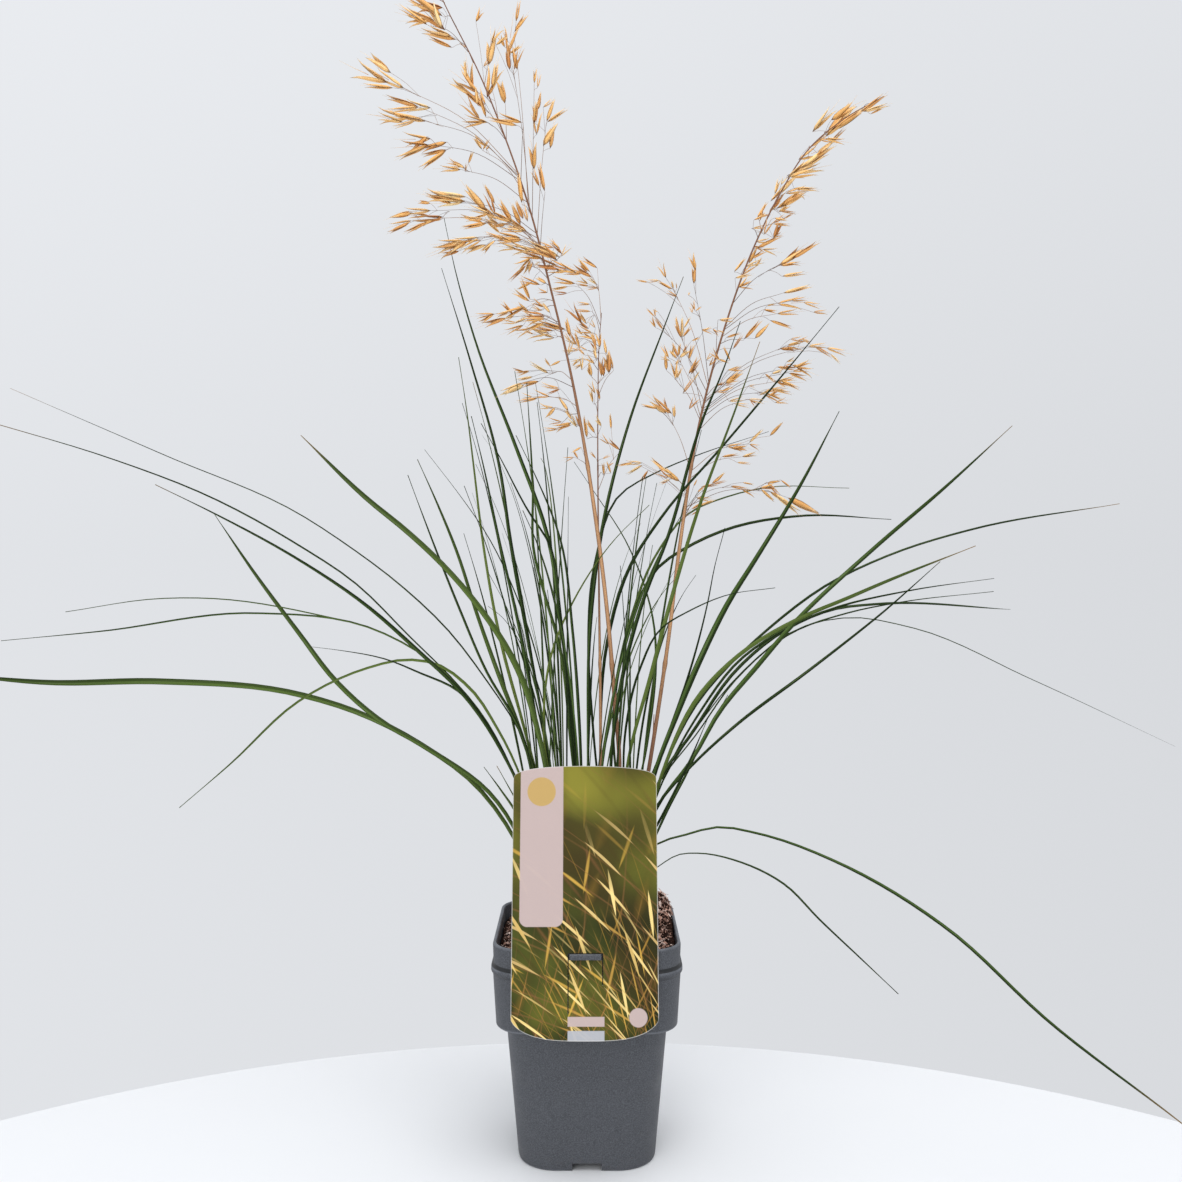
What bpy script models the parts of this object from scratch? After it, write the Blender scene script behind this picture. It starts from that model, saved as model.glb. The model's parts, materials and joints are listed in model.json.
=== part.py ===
"""Giant feather grass (a tall tufted oat grass) growing in a deep square nursery pot.

Metres, +Z up. The origin is the middle of the pot's underside, the pot's front faces -Y
and +X is the plant's right. The object is the pot, the soil in it, a printed label card
hung on a lug at the front of the rim, twelve leafy shoots and three flower stems.

A leaf blade that shapes the outline is drawn on a front elevation: its (x, z) points are
millimetres on the plane through the pot's middle, seen in perspective from SIGHT_Y in
front and SIGHT_Z up. Its depth is drawn at random until it stands clear of every other
shoot and stem, and does not change the front elevation.
"""

import math
import random

import bmesh
import bpy
import numpy as np
from mathutils import Vector

MM = 0.001

# Pot: half widths of the square sections.
POT_HEIGHT = 0.1805
POT_WALL = 0.0018
FOOT_HALF = 0.0556
BODY_TOP_HALF = 0.0642
COLLAR_Z = 0.115
COLLAR_LOW_HALF = 0.072
COLLAR_TOP_HALF = 0.0744
BEAD_HALF = 0.0759
BEAD_Z = 0.1580
BEAD_HEIGHT = 0.005
RIM_HALF = 0.0745
CORNER_RADIUS = 0.025
FOOT_CORNER = 0.031
CORNER_STEPS = 4
FLOOR_Z = 0.007
FLOOR_THICK = 0.002
NOTCH_WIDTH = 0.023
NOTCH_HEIGHT = 0.0065
BOSS_RADIUS = 0.018
DRAIN_RADIUS = 0.0055
DRAIN_RING = 0.036

# Lug at the front of the rim, which the card hangs on.
LUG_WIDTH = 0.0246
LUG_HEIGHT = 0.0026
LIP_HEIGHT = 0.0046
LUG_Z = 0.1768
LUG_REACH = 0.0835

# Label card.
CARD_HALF_WIDTH = 0.0567
CARD_SIDE_TOP = 0.1305
CARD_SIDE_LOW = -0.047
CARD_TOP_RISE = 0.0131
CARD_LOW_DROP = 0.0164
CARD_TOP_POINTS = 11
CARD_LOW_POINTS = 13
CARD_THICK = 0.0008
CARD_LEAN = math.radians(11.5)
CARD_PIVOT = (-0.0015, -0.0778, 0.1783)
SLOT_HALF = 0.0137
SLOT_HEIGHT = 0.005
KERF = 0.0008
KERF_LEFT = 0.042
KERF_RIGHT = 0.021
SLOT_SHIFT = (0.0005, -0.0015)

# Soil.
GAP = 0.0004
SOIL_EDGE_Z = 0.1685
SOIL_RINGS = 6
HOLE_BOTTOM = 0.150

# Tuft.
SIGHT_Y = 1.065
SIGHT_Z = 0.488
SHOOT_RADIUS = 0.0042
SHOOT_FOOT_Z = 0.1512
SHOOT_TOP_Z = 0.207
SHOOT_SIDES = 6
BLADE_FOOT_Z = SHOOT_TOP_Z - 0.018
SHEATH_LEAN = 0.12
SHEATH_RISE = 0.0756
LONG_SEGMENTS = 9
SHORT_SEGMENTS = 7
FILL_SEGMENTS = 5
CLEARANCE = 0.0008
ROOTED = 2
LOWEST_LEAF = 0.014
SEED = 46

SHOOT_PLACES = (
    (-36, -8), (-33, 10), (-22, -22), (-19, 24), (-17, 2), (-3, -15),
    (-2, 31), (3, -32), (19, 26), (22, -25), (38, -14), (36, 22),
)
STEM_PLACES = ((15, -5), (2, 9), (34, 4))

# Blades of the outline: shoot, width, then (x, z) points from low to high on the elevation.
OUTLINE_BLADES = (
    (0, 4.4, (-94, 296), (-139, 329), (-188, 354), (-239, 370), (-355, 381), (-447, 380), (-530, 387)),
    (0, 4.0, (-80, 287), (-133, 325), (-172, 348), (-210, 382), (-239, 420), (-276, 470), (-310, 520)),
    (2, 3.2, (-74, 341), (-97, 375), (-127, 396), (-150, 399), (-183, 392), (-239, 365), (-297, 312), (-339, 276)),
    (4, 2.6, (-57, 341), (-83, 381), (-116, 424), (-154, 460), (-199, 494), (-239, 520), (-351, 569), (-480, 625)),
    (1, 2.6, (-72, 328), (-97, 366), (-150, 421), (-194, 464), (-239, 494), (-314, 535), (-397, 567), (-503, 599)),
    (2, 3.6, (-62, 306), (-101, 368), (-141, 407), (-183, 444), (-239, 482), (-310, 521), (-359, 545)),
    (1, 2.4, (-66, 316), (-89, 356), (-127, 396), (-176, 424), (-222, 436), (-310, 450), (-357, 450), (-434, 439)),
    (1, 2.8, (-68, 320), (-93, 361), (-131, 399), (-176, 424), (-276, 438), (-404, 423), (-488, 415)),
    (0, 2.8, (-64, 310), (-77, 336), (-110, 375), (-139, 388), (-166, 399), (-206, 407), (-230, 410)),
    (2, 4.0, (-39, 332), (-56, 388), (-97, 452), (-123, 481), (-150, 506), (-183, 533), (-238, 586)),
    (0, 3.2, (-57, 343), (-83, 388), (-105, 439), (-123, 484), (-139, 526), (-149, 553)),
    (4, 3.0, (-56, 341), (-74, 388), (-92, 439), (-107, 486), (-127, 535), (-141, 566)),
    (3, 2.4, (-35, 374), (-56, 445), (-85, 506), (-105, 535), (-135, 574)),
    (3, 2.4, (-43, 366), (-64, 432), (-87, 504), (-102, 544)),
    (4, 3.0, (-52, 341), (-72, 415), (-87, 499), (-94, 557), (-100, 605), (-107, 651)),
    (4, 3.0, (-41, 341), (-56, 424), (-73, 499), (-87, 565), (-96, 602)),
    (5, 2.6, (-14, 349), (-22, 432), (-33, 499), (-47, 520), (-73, 569), (-88, 596)),
    (3, 3.2, (-35, 336), (-49, 415), (-64, 499), (-73, 560), (-97, 647), (-121, 725)),
    (5, 3.6, (-12, 341), (-21, 424), (-32, 499), (-59, 576), (-91, 659), (-110, 725), (-119, 767)),
    (5, 2.8, (-6, 341), (-12, 424), (-22, 499), (-45, 557), (-59, 586)),
    (6, 2.8, (-14, 332), (-22, 406), (-37, 460), (-44, 488), (-45, 541), (-50, 630)),
    (0, 2.4, (-58, 270), (-72, 291), (-86, 310)),
    (2, 2.2, (-56, 277), (-66, 295), (-75, 311)),
    (7, 3.2, (1, 332), (2, 415), (11, 499), (35, 597), (64, 676), (80, 718)),
    (9, 3.4, (21, 328), (29, 382), (47, 449), (67, 500), (98, 603), (112, 636), (128, 681)),
    (9, 3.4, (37, 328), (52, 382), (70, 449), (93, 525), (122, 603), (144, 664)),
    (8, 3.2, (11, 332), (17, 415), (35, 475), (63, 519), (114, 578), (162, 635), (210, 693)),
    (8, 2.6, (5, 340), (1, 407), (7, 482), (27, 536), (58, 555), (91, 569), (151, 589)),
    (6, 2.6, (21, 366), (36, 432), (57, 486), (86, 522), (114, 534), (146, 542), (218, 542)),
    (11, 2.8, (23, 366), (37, 432), (58, 475), (87, 495), (114, 507), (178, 519), (253, 516)),
    (10, 4.0, (57, 307), (73, 349), (94, 399), (119, 449), (138, 479), (178, 545), (210, 606)),
    (8, 2.4, (67, 336), (86, 391), (101, 449), (106, 475), (115, 509)),
    (11, 2.4, (32, 341), (44, 391), (62, 425), (86, 440), (117, 453), (157, 459)),
    (10, 4.0, (58, 276), (88, 317), (111, 357), (141, 393), (169, 426), (240, 493), (297, 542), (354, 594)),
    (11, 2.8, (67, 316), (94, 366), (115, 391), (151, 425), (199, 461), (251, 486), (322, 508), (443, 529)),
    (10, 3.8, (65, 311), (94, 370), (129, 405), (180, 435), (216, 450), (251, 465), (324, 494)),
    (11, 2.8, (71, 316), (94, 356), (127, 399), (169, 427), (199, 440), (269, 457), (339, 467)),
    (8, 2.4, (62, 300), (90, 336), (123, 382), (169, 421), (216, 438), (260, 447), (338, 456)),
    (10, 3.6, (62, 302), (86, 336), (123, 389), (169, 426), (202, 440), (240, 445), (352, 441)),
    (11, 2.4, (66, 304), (90, 341), (129, 389), (178, 426), (216, 434), (269, 426), (369, 383), (489, 327)),
    (9, 3.0, (57, 276), (88, 312), (123, 344), (183, 389), (218, 416), (243, 436), (294, 481)),
    (10, 3.4, (58, 246), (80, 253), (110, 260), (141, 255), (210, 230), (302, 174), (385, 98), (495, 14), (528, -12)),
    (9, 2.6, (58, 226), (77, 237), (94, 238), (127, 231), (165, 212), (194, 183), (227, 152), (260, 121)),
    (10, 2.4, (65, 270), (82, 303), (98, 336), (117, 370)),
    (9, 2.2, (62, 268), (86, 316), (101, 351)),
    (8, 2.4, (50, 330), (54, 436), (33, 496), (5, 540), (-11, 564)),
    (4, 2.2, (-36, 340), (-30, 402), (-8, 454), (22, 498), (52, 528)),
)
OUTLINE_DEPTHS = (-0.17, 0.16)
LOW_BLADE_DEPTHS = (-0.27, -0.19)
LOW_BLADE_TIP = 0.13

FILL_BLADES = 37
FILL_LENGTH = (0.27, 0.52)
FILL_WIDTH = (1.5, 2.5)

# Flower stems: points of the stem, then its sprays. A spray leaves the stem at a height and
# runs to the foot of its first spikelet; each spikelet is (foot x, foot z, tip x, tip z).
STEM_POINTS = (
    ((27, 313), (23, 366), (17, 437), (6, 525), (-6, 599), (-14, 640), (-31, 711), (-47, 772),
     (-69, 836), (-91, 890), (-119, 946), (-128, 966)),
    ((11, 312), (11, 366), (10, 449), (9, 549), (9, 615), (10, 661), (12, 688)),
    ((53, 318), (62, 376), (67, 411), (77, 493), (95, 603), (114, 674), (139, 743), (160, 786),
     (186, 826), (215, 850), (247, 868)),
)
STEM_RADII = (0.0019, 0.0014, 0.0018)
SPRAYS = (
    (
        (946, (-134, 950, -156, 956), (-128, 955, -146, 964)),
        (926, (-119, 934, -145, 952), (-120, 923, -131, 945), (-122, 939, -148, 948)),
        (905, (-132, 927, -155, 942), (-126, 931, -154, 936)),
        (896, (-108, 915, -136, 922), (-112, 918, -134, 925)),
        (876, (-82, 893, -79, 920), (-80, 912, -72, 926)),
        (862, (-95, 872, -101, 899)),
        (848, (-79, 874, -75, 897)),
        (834, (-85, 858, -103, 874), (-95, 868, -115, 882), (-84, 860, -93, 874)),
        (832, (-84, 847, -105, 844), (-90, 849, -105, 868)),
        (830, (-68, 861, -74, 884)),
        (804, (-151, 874, -178, 889), (-165, 879, -198, 893), (-160, 875, -184, 877)),
        (802, (-133, 847, -160, 853), (-147, 850, -177, 852)),
        (800, (-139, 859, -165, 867), (-139, 859, -164, 856)),
        (798, (-131, 828, -157, 825), (-131, 828, -156, 817), (-116, 824, -136, 819), (-116, 824, -137, 809)),
        (796, (-53, 846, -75, 852)),
        (788, (-87, 823, -95, 836), (-87, 823, -82, 832)),
        (780, (-104, 807, -124, 808), (-101, 808, -112, 814), (-99, 811, -95, 823)),
        (776, (-61, 921, -50, 937), (-66, 903, -62, 930), (-68, 908, -74, 920)),
        (772, (-61, 889, -54, 910), (-64, 889, -67, 908), (-65, 903, -54, 911)),
        (770, (-54, 778, -57, 802), (-49, 763, -54, 779)),
        (766, (-44, 878, -43, 892), (-41, 856, -39, 870), (-42, 835, -42, 857), (-44, 806, -46, 831)),
        (752, (-34, 846, -28, 864), (-34, 846, -18, 857), (-37, 826, -26, 846)),
        (742, (-35, 788, -40, 811)),
        (754, (-100, 780, -130, 788), (-112, 782, -136, 786), (-102, 780, -127, 779)),
        (750, (-129, 773, -153, 772), (-119, 768, -141, 764), (-131, 769, -151, 769)),
        (746, (-145, 765, -165, 759), (-147, 763, -164, 755), (-132, 764, -150, 755)),
        (744, (-82, 763, -102, 759), (-85, 766, -103, 766)),
        (742, (-89, 751, -112, 744), (-100, 748, -128, 739), (-87, 749, -110, 741), (-104, 745, -128, 736)),
        (738, (-76, 768, -85, 791), (-83, 772, -103, 794), (-70, 758, -86, 769), (-80, 770, -100, 776)),
        (734, (-62, 763, -74, 782), (-61, 763, -84, 772), (-62, 762, -80, 766)),
        (732, (-49, 755, -68, 765), (-50, 756, -71, 757), (-54, 750, -78, 753)),
        (728, (-52, 749, -74, 747), (-60, 746, -76, 752), (-75, 749, -87, 740)),
        (724, (-24, 731, -40, 745), (-22, 734, -14, 745), (-28, 733, -46, 742), (-20, 736, -31, 749)),
        (722, (-24, 727, -44, 731), (-30, 738, -52, 746), (-36, 733, -58, 737), (-45, 741, -66, 740)),
        (718, (-14, 724, -33, 731), (-22, 724, -42, 727), (-16, 722, -36, 724), (-8, 721, -26, 727)),
        (716, (-50, 728, -64, 715), (-46, 734, -61, 724), (-47, 733, -51, 718)),
        (710, (-38, 711, -57, 717), (-33, 712, -43, 718)),
        (698, (-47, 697, -63, 707), (-47, 698, -55, 716)),
        (694, (-35, 692, -47, 699), (-36, 690, -46, 691)),
        (680, (-76, 687, -94, 685), (-77, 687, -90, 679), (-64, 689, -77, 685)),
        (678, (-66, 684, -88, 677), (-52, 678, -69, 671)),
        (676, (-34, 686, -57, 687), (-33, 683, -54, 682), (-30, 687, -38, 697)),
        (672, (-46, 675, -62, 669), (-33, 678, -50, 678), (-30, 671, -54, 671)),
        (666, (-26, 667, -48, 669), (-27, 673, -45, 675)),
        (632, (-31, 637, -47, 646), (-47, 640, -60, 636), (-44, 635, -58, 632)),
        (626, (-53, 630, -72, 620), (-22, 625, -35, 627)),
        (610, (-30, 618, -47, 621), (-40, 617, -57, 614)),
        (604, (-20, 597, -34, 598), (-26, 610, -34, 600), (-27, 609, -37, 610)),
        (592, (-12, 595, -26, 591), (-12, 598, -19, 609), (-8, 592, -16, 604)),
        (560, (-7, 566, -12, 574), (-10, 568, -21, 565)),
    ),
    (
        (681, (9, 711, -1, 718), (10, 709, -2, 708), (3, 721, -7, 732), (5, 717, -14, 727)),
        (677, (-9, 712, -30, 716), (-15, 710, -30, 707)),
        (670, (4, 689, -10, 690), (-4, 679, -17, 696), (0, 678, -8, 689)),
        (662, (5, 671, -10, 675), (-3, 669, -12, 677), (5, 666, -7, 671)),
        (660, (-14, 667, -18, 684), (-13, 663, -20, 672), (-6, 657, -10, 671), (-9, 661, -19, 667)),
        (654, (8, 655, 3, 668), (11, 658, 9, 673), (-10, 657, -20, 656)),
        (646, (8, 648, 5, 661), (-1, 652, -9, 660), (7, 645, -3, 653)),
        (640, (-4, 650, -14, 645), (-3, 646, -12, 641)),
        (628, (4, 634, 1, 648), (12, 634, 11, 652), (14, 634, 12, 650)),
        (618, (22, 640, 16, 657)),
        (604, (5, 612, 2, 626), (7, 620, 1, 632)),
        (584, (0, 583, -2, 598), (7, 587, -1, 599)),
        (560, (8, 566, 2, 573), (12, 566, 20, 570)),
        (550, (14, 552, 13, 564)),
        (540, (28, 573, 16, 583), (20, 590, 19, 603)),
    ),
    (
        (862, (227, 854, 247, 869), (229, 855, 250, 861)),
        (838, (199, 835, 221, 862), (205, 839, 228, 860), (198, 834, 218, 853)),
        (836, (197, 833, 216, 830), (208, 842, 228, 856)),
        (820, (185, 825, 200, 837), (175, 815, 197, 825)),
        (800, (166, 800, 188, 813), (178, 808, 204, 827), (172, 804, 198, 810)),
        (798, (170, 803, 197, 820), (168, 801, 180, 801)),
        (782, (156, 786, 160, 800), (152, 780, 164, 793), (158, 786, 173, 801)),
        (778, (164, 787, 185, 792)),
        (768, (157, 774, 176, 787), (160, 776, 181, 790), (163, 776, 179, 786), (159, 773, 173, 771)),
        (756, (141, 766, 149, 779), (142, 767, 152, 770)),
        (752, (154, 762, 167, 770), (154, 762, 168, 761)),
        (750, (137, 758, 149, 760), (147, 752, 154, 768)),
        (736, (140, 741, 159, 751), (145, 741, 160, 738), (134, 728, 141, 742)),
        (716, (128, 719, 142, 730), (131, 726, 148, 732)),
        (704, (125, 708, 137, 718), (126, 709, 139, 711)),
        (696, (159, 727, 180, 740), (170, 732, 191, 746), (160, 727, 174, 729)),
        (676, (162, 704, 185, 710)),
        (674, (169, 698, 184, 700), (179, 697, 195, 693)),
        (668, (157, 687, 177, 689), (151, 682, 169, 676)),
        (662, (130, 665, 144, 681), (115, 667, 127, 671)),
        (650, (109, 682, 124, 682), (104, 675, 111, 669), (121, 657, 129, 669)),
        (640, (111, 648, 102, 658), (107, 650, 115, 648), (101, 643, 108, 652)),
        (628, (89, 711, 89, 729), (90, 689, 87, 699), (90, 689, 95, 693)),
        (626, (72, 707, 59, 714), (72, 707, 70, 715), (66, 716, 60, 730), (61, 715, 49, 714)),
        (622, (64, 673, 56, 684), (57, 684, 50, 691), (57, 684, 56, 692)),
        (614, (84, 636, 94, 652), (86, 636, 93, 648), (79, 620, 89, 634)),
        (606, (79, 666, 73, 680), (79, 666, 79, 683), (79, 667, 87, 677), (86, 664, 95, 668)),
        (600, (76, 650, 71, 662), (76, 651, 77, 663), (79, 654, 84, 662), (76, 650, 86, 658)),
        (598, (74, 632, 72, 650), (74, 632, 79, 642), (70, 648, 60, 651)),
        (618, (114, 628, 130, 640), (115, 630, 128, 633), (116, 632, 128, 637), (116, 640, 128, 642)),
        (616, (111, 622, 122, 627), (114, 627, 123, 630)),
        (614, (183, 660, 201, 661), (198, 659, 217, 654), (188, 661, 203, 652)),
        (612, (165, 660, 182, 660), (168, 666, 181, 666), (166, 661, 179, 664)),
        (608, (173, 643, 190, 637), (171, 642, 187, 648), (157, 643, 173, 641)),
        (606, (167, 638, 184, 633), (147, 638, 157, 630), (170, 639, 184, 641)),
        (604, (158, 631, 175, 634), (160, 632, 176, 625), (157, 630, 176, 630)),
        (600, (146, 622, 165, 626), (152, 625, 169, 621), (147, 620, 163, 616)),
        (590, (133, 616, 149, 614), (135, 616, 142, 610)),
        (556, (134, 579, 145, 590), (134, 579, 145, 575), (115, 577, 131, 576)),
        (550, (128, 568, 142, 571), (111, 568, 125, 570)),
        (526, (151, 540, 168, 529), (155, 538, 176, 522), (144, 542, 155, 532), (143, 542, 159, 544)),
        (522, (118, 544, 134, 541), (128, 541, 141, 537)),
        (518, (103, 545, 112, 553), (104, 545, 115, 548), (94, 543, 108, 545)),
        (512, (86, 524, 96, 530), (93, 527, 105, 532), (91, 538, 98, 544)),
        (556, (68, 602, 64, 616), (67, 603, 52, 618), (60, 608, 46, 611)),
        (538, (69, 550, 56, 558), (70, 550, 60, 545), (68, 554, 54, 566)),
        (532, (78, 547, 62, 558), (47, 563, 31, 563), (47, 562, 34, 554)),
    ),
)
SPRAY_RADIUS = 0.0005
SPRAY_DEPTH = 0.045
SPRAY_ROOM = 0.0026
SPRAY_TAKES = 0.0024
SPIKELET_DEPTH = 0.006
SPIKELET_HALF = 0.0019
SPIKELET_THICK = 0.0013
SPIKELET_FULL = 0.020
SOLID_SPIKELETS = 2


# ---------------------------------------------------------------- scene and materials

def clear_scene():
    for obj in list(bpy.data.objects):
        bpy.data.objects.remove(obj, do_unlink=True)


def new_collection(name):
    made = bpy.data.collections.new(name)
    bpy.context.scene.collection.children.link(made)
    return made


def material(name, colour, roughness):
    made = bpy.data.materials.new(name)
    made.use_nodes = True
    shader = made.node_tree.nodes["Principled BSDF"]
    shader.inputs["Base Color"].default_value = (*colour, 1.0)
    shader.inputs["Roughness"].default_value = roughness
    shader.inputs["Metallic"].default_value = 0.0
    made.diffuse_color = (*colour, 1.0)
    return made


def pot_plastic():
    return material("pot_plastic", (0.078, 0.087, 0.105), 0.55)


def potting_soil():
    return material("potting_soil", (0.060, 0.035, 0.025), 0.95)


def label_print():
    return material("label_print", (0.26, 0.24, 0.10), 0.40)


def leaf_green():
    return material("leaf_green", (0.055, 0.125, 0.055), 0.55)


def ripe_straw():
    return material("ripe_straw", (0.62, 0.34, 0.14), 0.60)


def object_from(name, points, faces, finish, collection):
    mesh = bpy.data.meshes.new(name)
    mesh.from_pydata([tuple(point) for point in points], [], faces)
    mesh.materials.append(finish)
    mesh.validate()
    made = bpy.data.objects.new(name, mesh)
    collection.objects.link(made)
    return made


def smooth(obj, degrees=35):
    obj.data.shade_smooth()
    obj.data.set_sharp_from_angle(angle=math.radians(degrees))


def apply_boolean(obj, others, operation):
    """One Boolean with a collection of objects, applied; the collection is then emptied."""
    helpers = new_collection(obj.name + "_helpers")
    for other in others:
        for owner in list(other.users_collection):
            owner.objects.unlink(other)
        helpers.objects.link(other)
    modifier = obj.modifiers.new("join", "BOOLEAN")
    modifier.operation = operation
    modifier.operand_type = "COLLECTION"
    modifier.collection = helpers
    modifier.solver = "EXACT"
    graph = bpy.context.evaluated_depsgraph_get()
    result = bpy.data.meshes.new_from_object(obj.evaluated_get(graph))
    obj.modifiers.remove(modifier)
    obj.data = result
    for other in others:
        bpy.data.objects.remove(other, do_unlink=True)
    bpy.data.collections.remove(helpers)


# ---------------------------------------------------------------- pot, soil and card

def rounded_square(half, radius, z):
    """Points of a square section with round corners, counter-clockwise from above."""
    points = []
    for corner in range(4):
        middle = math.radians(90 * corner + 45)
        reach = (half - radius) * math.sqrt(2)
        for step in range(CORNER_STEPS + 1):
            turn = math.radians(90 * corner + 90 * step / CORNER_STEPS)
            points.append((
                reach * math.cos(middle) + radius * math.cos(turn),
                reach * math.sin(middle) + radius * math.sin(turn),
                z,
            ))
    return points


def loft(rings):
    """Points and faces of a closed solid through rings of equal count, capped at both ends."""
    count = len(rings[0])
    points = [point for ring in rings for point in ring]
    faces = [tuple(reversed(range(count)))]
    for level in range(len(rings) - 1):
        low = level * count
        for i in range(count):
            j = (i + 1) % count
            faces.append((low + i, low + j, low + count + j, low + count + i))
    last = (len(rings) - 1) * count
    faces.append(tuple(range(last, last + count)))
    return points, faces


def frustum(low_radius, high_radius, low_z, high_z, sides, place=(0.0, 0.0)):
    """A cone frustum as a helper object, standing on low_z."""
    bpy.ops.mesh.primitive_cone_add(
        vertices=sides, radius1=low_radius, radius2=high_radius, depth=high_z - low_z,
        location=(place[0], place[1], (low_z + high_z) / 2),
    )
    return bpy.context.object


def block(size, centre):
    bpy.ops.mesh.primitive_cube_add(size=1.0, location=centre)
    made = bpy.context.object
    made.scale = size
    return made


def pot_profile():
    """(half width, corner radius, z) from under the floor, up the outside, down the inside."""
    inner = POT_WALL
    r = CORNER_RADIUS
    foot = FOOT_CORNER
    top = POT_HEIGHT
    shelf = COLLAR_Z
    return (
        (FOOT_HALF - 0.0035, foot - 0.0035, FLOOR_Z),
        (FOOT_HALF - 0.0034, foot - 0.0034, 0.0),
        (FOOT_HALF - 0.0016, foot - 0.0016, 0.0),
        (FOOT_HALF - 0.0004, foot - 0.0004, 0.0016),
        (FOOT_HALF, foot, 0.0042),
        (BODY_TOP_HALF, r, shelf - 0.002),
        (COLLAR_LOW_HALF - 0.0014, r, shelf - 0.0015),
        (COLLAR_LOW_HALF, r, shelf),
        (COLLAR_TOP_HALF, r, BEAD_Z - 0.0010),
        (BEAD_HALF, r + 0.0022, BEAD_Z),
        (BEAD_HALF, r + 0.0022, BEAD_Z + BEAD_HEIGHT - 0.001),
        (RIM_HALF - 0.0006, r, BEAD_Z + BEAD_HEIGHT),
        (RIM_HALF, r, top - 0.0012),
        (RIM_HALF - 0.0009, r, top),
        (RIM_HALF - 0.0024, r - 0.002, top),
        (RIM_HALF - 0.0030, r - 0.002, top - 0.0012),
        (COLLAR_LOW_HALF - inner, r - 0.002, shelf + 0.002),
        (BODY_TOP_HALF - inner, r - 0.002, shelf),
        (FOOT_HALF - inner, foot - 0.002, FLOOR_Z + FLOOR_THICK),
    )


def build_pot(collection):
    points, faces = loft([rounded_square(*level) for level in pot_profile()])
    pot = object_from("pot", points, faces, pot_plastic(), collection)
    boss = frustum(BOSS_RADIUS, BOSS_RADIUS + 0.003, 0.0, FLOOR_Z + 0.001, 16)
    lug = block(
        (LUG_WIDTH, LUG_REACH - RIM_HALF + 0.002, LUG_HEIGHT),
        (-0.001, -(LUG_REACH + RIM_HALF - 0.002) / 2, LUG_Z),
    )
    lip = block((LUG_WIDTH, 0.0016, LIP_HEIGHT), (-0.001, -LUG_REACH + 0.0008, LUG_Z + 0.001))
    apply_boolean(pot, [boss, lug, lip], "UNION")
    dish = frustum(BOSS_RADIUS - 0.003, BOSS_RADIUS, 0.002, FLOOR_Z + 0.004, 16)
    cutters = [dish]
    for quarter in range(4):
        turn = math.radians(90 * quarter)
        along = (math.cos(turn), math.sin(turn))
        notch = block((0.016, NOTCH_WIDTH, 2 * NOTCH_HEIGHT), (along[0] * 0.055, along[1] * 0.055, 0))
        notch.rotation_euler.z = turn
        cutters.append(notch)
        for ring, swing in ((DRAIN_RING, 0.0), (DRAIN_RING * 1.25, math.radians(45))):
            place = (ring * math.cos(turn + swing), ring * math.sin(turn + swing))
            cutters.append(frustum(DRAIN_RADIUS, DRAIN_RADIUS, 0.005, 0.011, 6, place))
    apply_boolean(pot, cutters, "DIFFERENCE")
    smooth(pot)
    return pot


def soil_height(x, y):
    """Relief of the soil: a low dish, heaped at the back right, with coarse lumps."""
    heap = 0.0265 * math.exp(-((x - 0.052) ** 2 + (y - 0.030) ** 2) / (2 * 0.021 ** 2))
    mound = 0.010 * math.exp(-(x * x + y * y) / (2 * 0.034 ** 2))
    lumps = 0.0014 * math.sin(310 * x + 1.3) * math.cos(270 * y - 0.4)
    crumbs = 0.0009 * math.sin(610 * x - 400 * y)
    return SOIL_EDGE_Z + heap + mound + lumps + crumbs


def build_soil(collection, stems):
    r = CORNER_RADIUS - 0.002
    low_half = FOOT_HALF - POT_WALL - GAP
    floor = FLOOR_Z + FLOOR_THICK + GAP
    body_half = BODY_TOP_HALF - POT_WALL - GAP
    collar_half = COLLAR_LOW_HALF - POT_WALL - GAP
    edge_half = RIM_HALF - 0.0042
    rings = [
        rounded_square(low_half, FOOT_CORNER - 0.002, floor),
        rounded_square(body_half, r, COLLAR_Z + GAP),
        rounded_square(collar_half, r, COLLAR_Z + 0.002 + GAP),
    ]
    edge = rounded_square(edge_half, r, 0.0)
    for ring in range(SOIL_RINGS):
        share = 1.0 - ring / SOIL_RINGS
        rings.append([(x * share, y * share, soil_height(x * share, y * share)) for x, y, z in edge])
    points, faces = loft(rings)
    soil = object_from("soil", points, faces, potting_soil(), collection)
    triangulate(soil)
    holes = []
    for x, y, radius, sides in stems:
        holes.append(frustum(radius + GAP, radius + GAP, HOLE_BOTTOM, 0.22, sides, (x, y)))
    apply_boolean(soil, holes, "DIFFERENCE")
    return soil


def triangulate(obj):
    made = bmesh.new()
    made.from_mesh(obj.data)
    bmesh.ops.triangulate(made, faces=made.faces)
    made.to_mesh(obj.data)
    made.free()


def card_outline():
    """The card's edge in its own plane: a flat arch with round ends on top and a deeper arch below."""
    half = CARD_HALF_WIDTH
    top = [
        (x, CARD_SIDE_TOP + CARD_TOP_RISE * (1 - (x / half) ** 2) ** 0.25)
        for x in half * np.sin(np.radians(np.linspace(84, -84, CARD_TOP_POINTS)))
    ]
    low = [
        (x, CARD_SIDE_LOW - CARD_LOW_DROP * (1 - (abs(x) / half) ** 3.2) ** 0.62)
        for x in half * np.sin(np.radians(np.linspace(-84, 84, CARD_LOW_POINTS)))
    ]
    return [(-half, CARD_SIDE_LOW + 0.002), *low, (half, CARD_SIDE_LOW + 0.002), (half, CARD_SIDE_TOP), *top,
            (-half, CARD_SIDE_TOP)]


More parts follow.
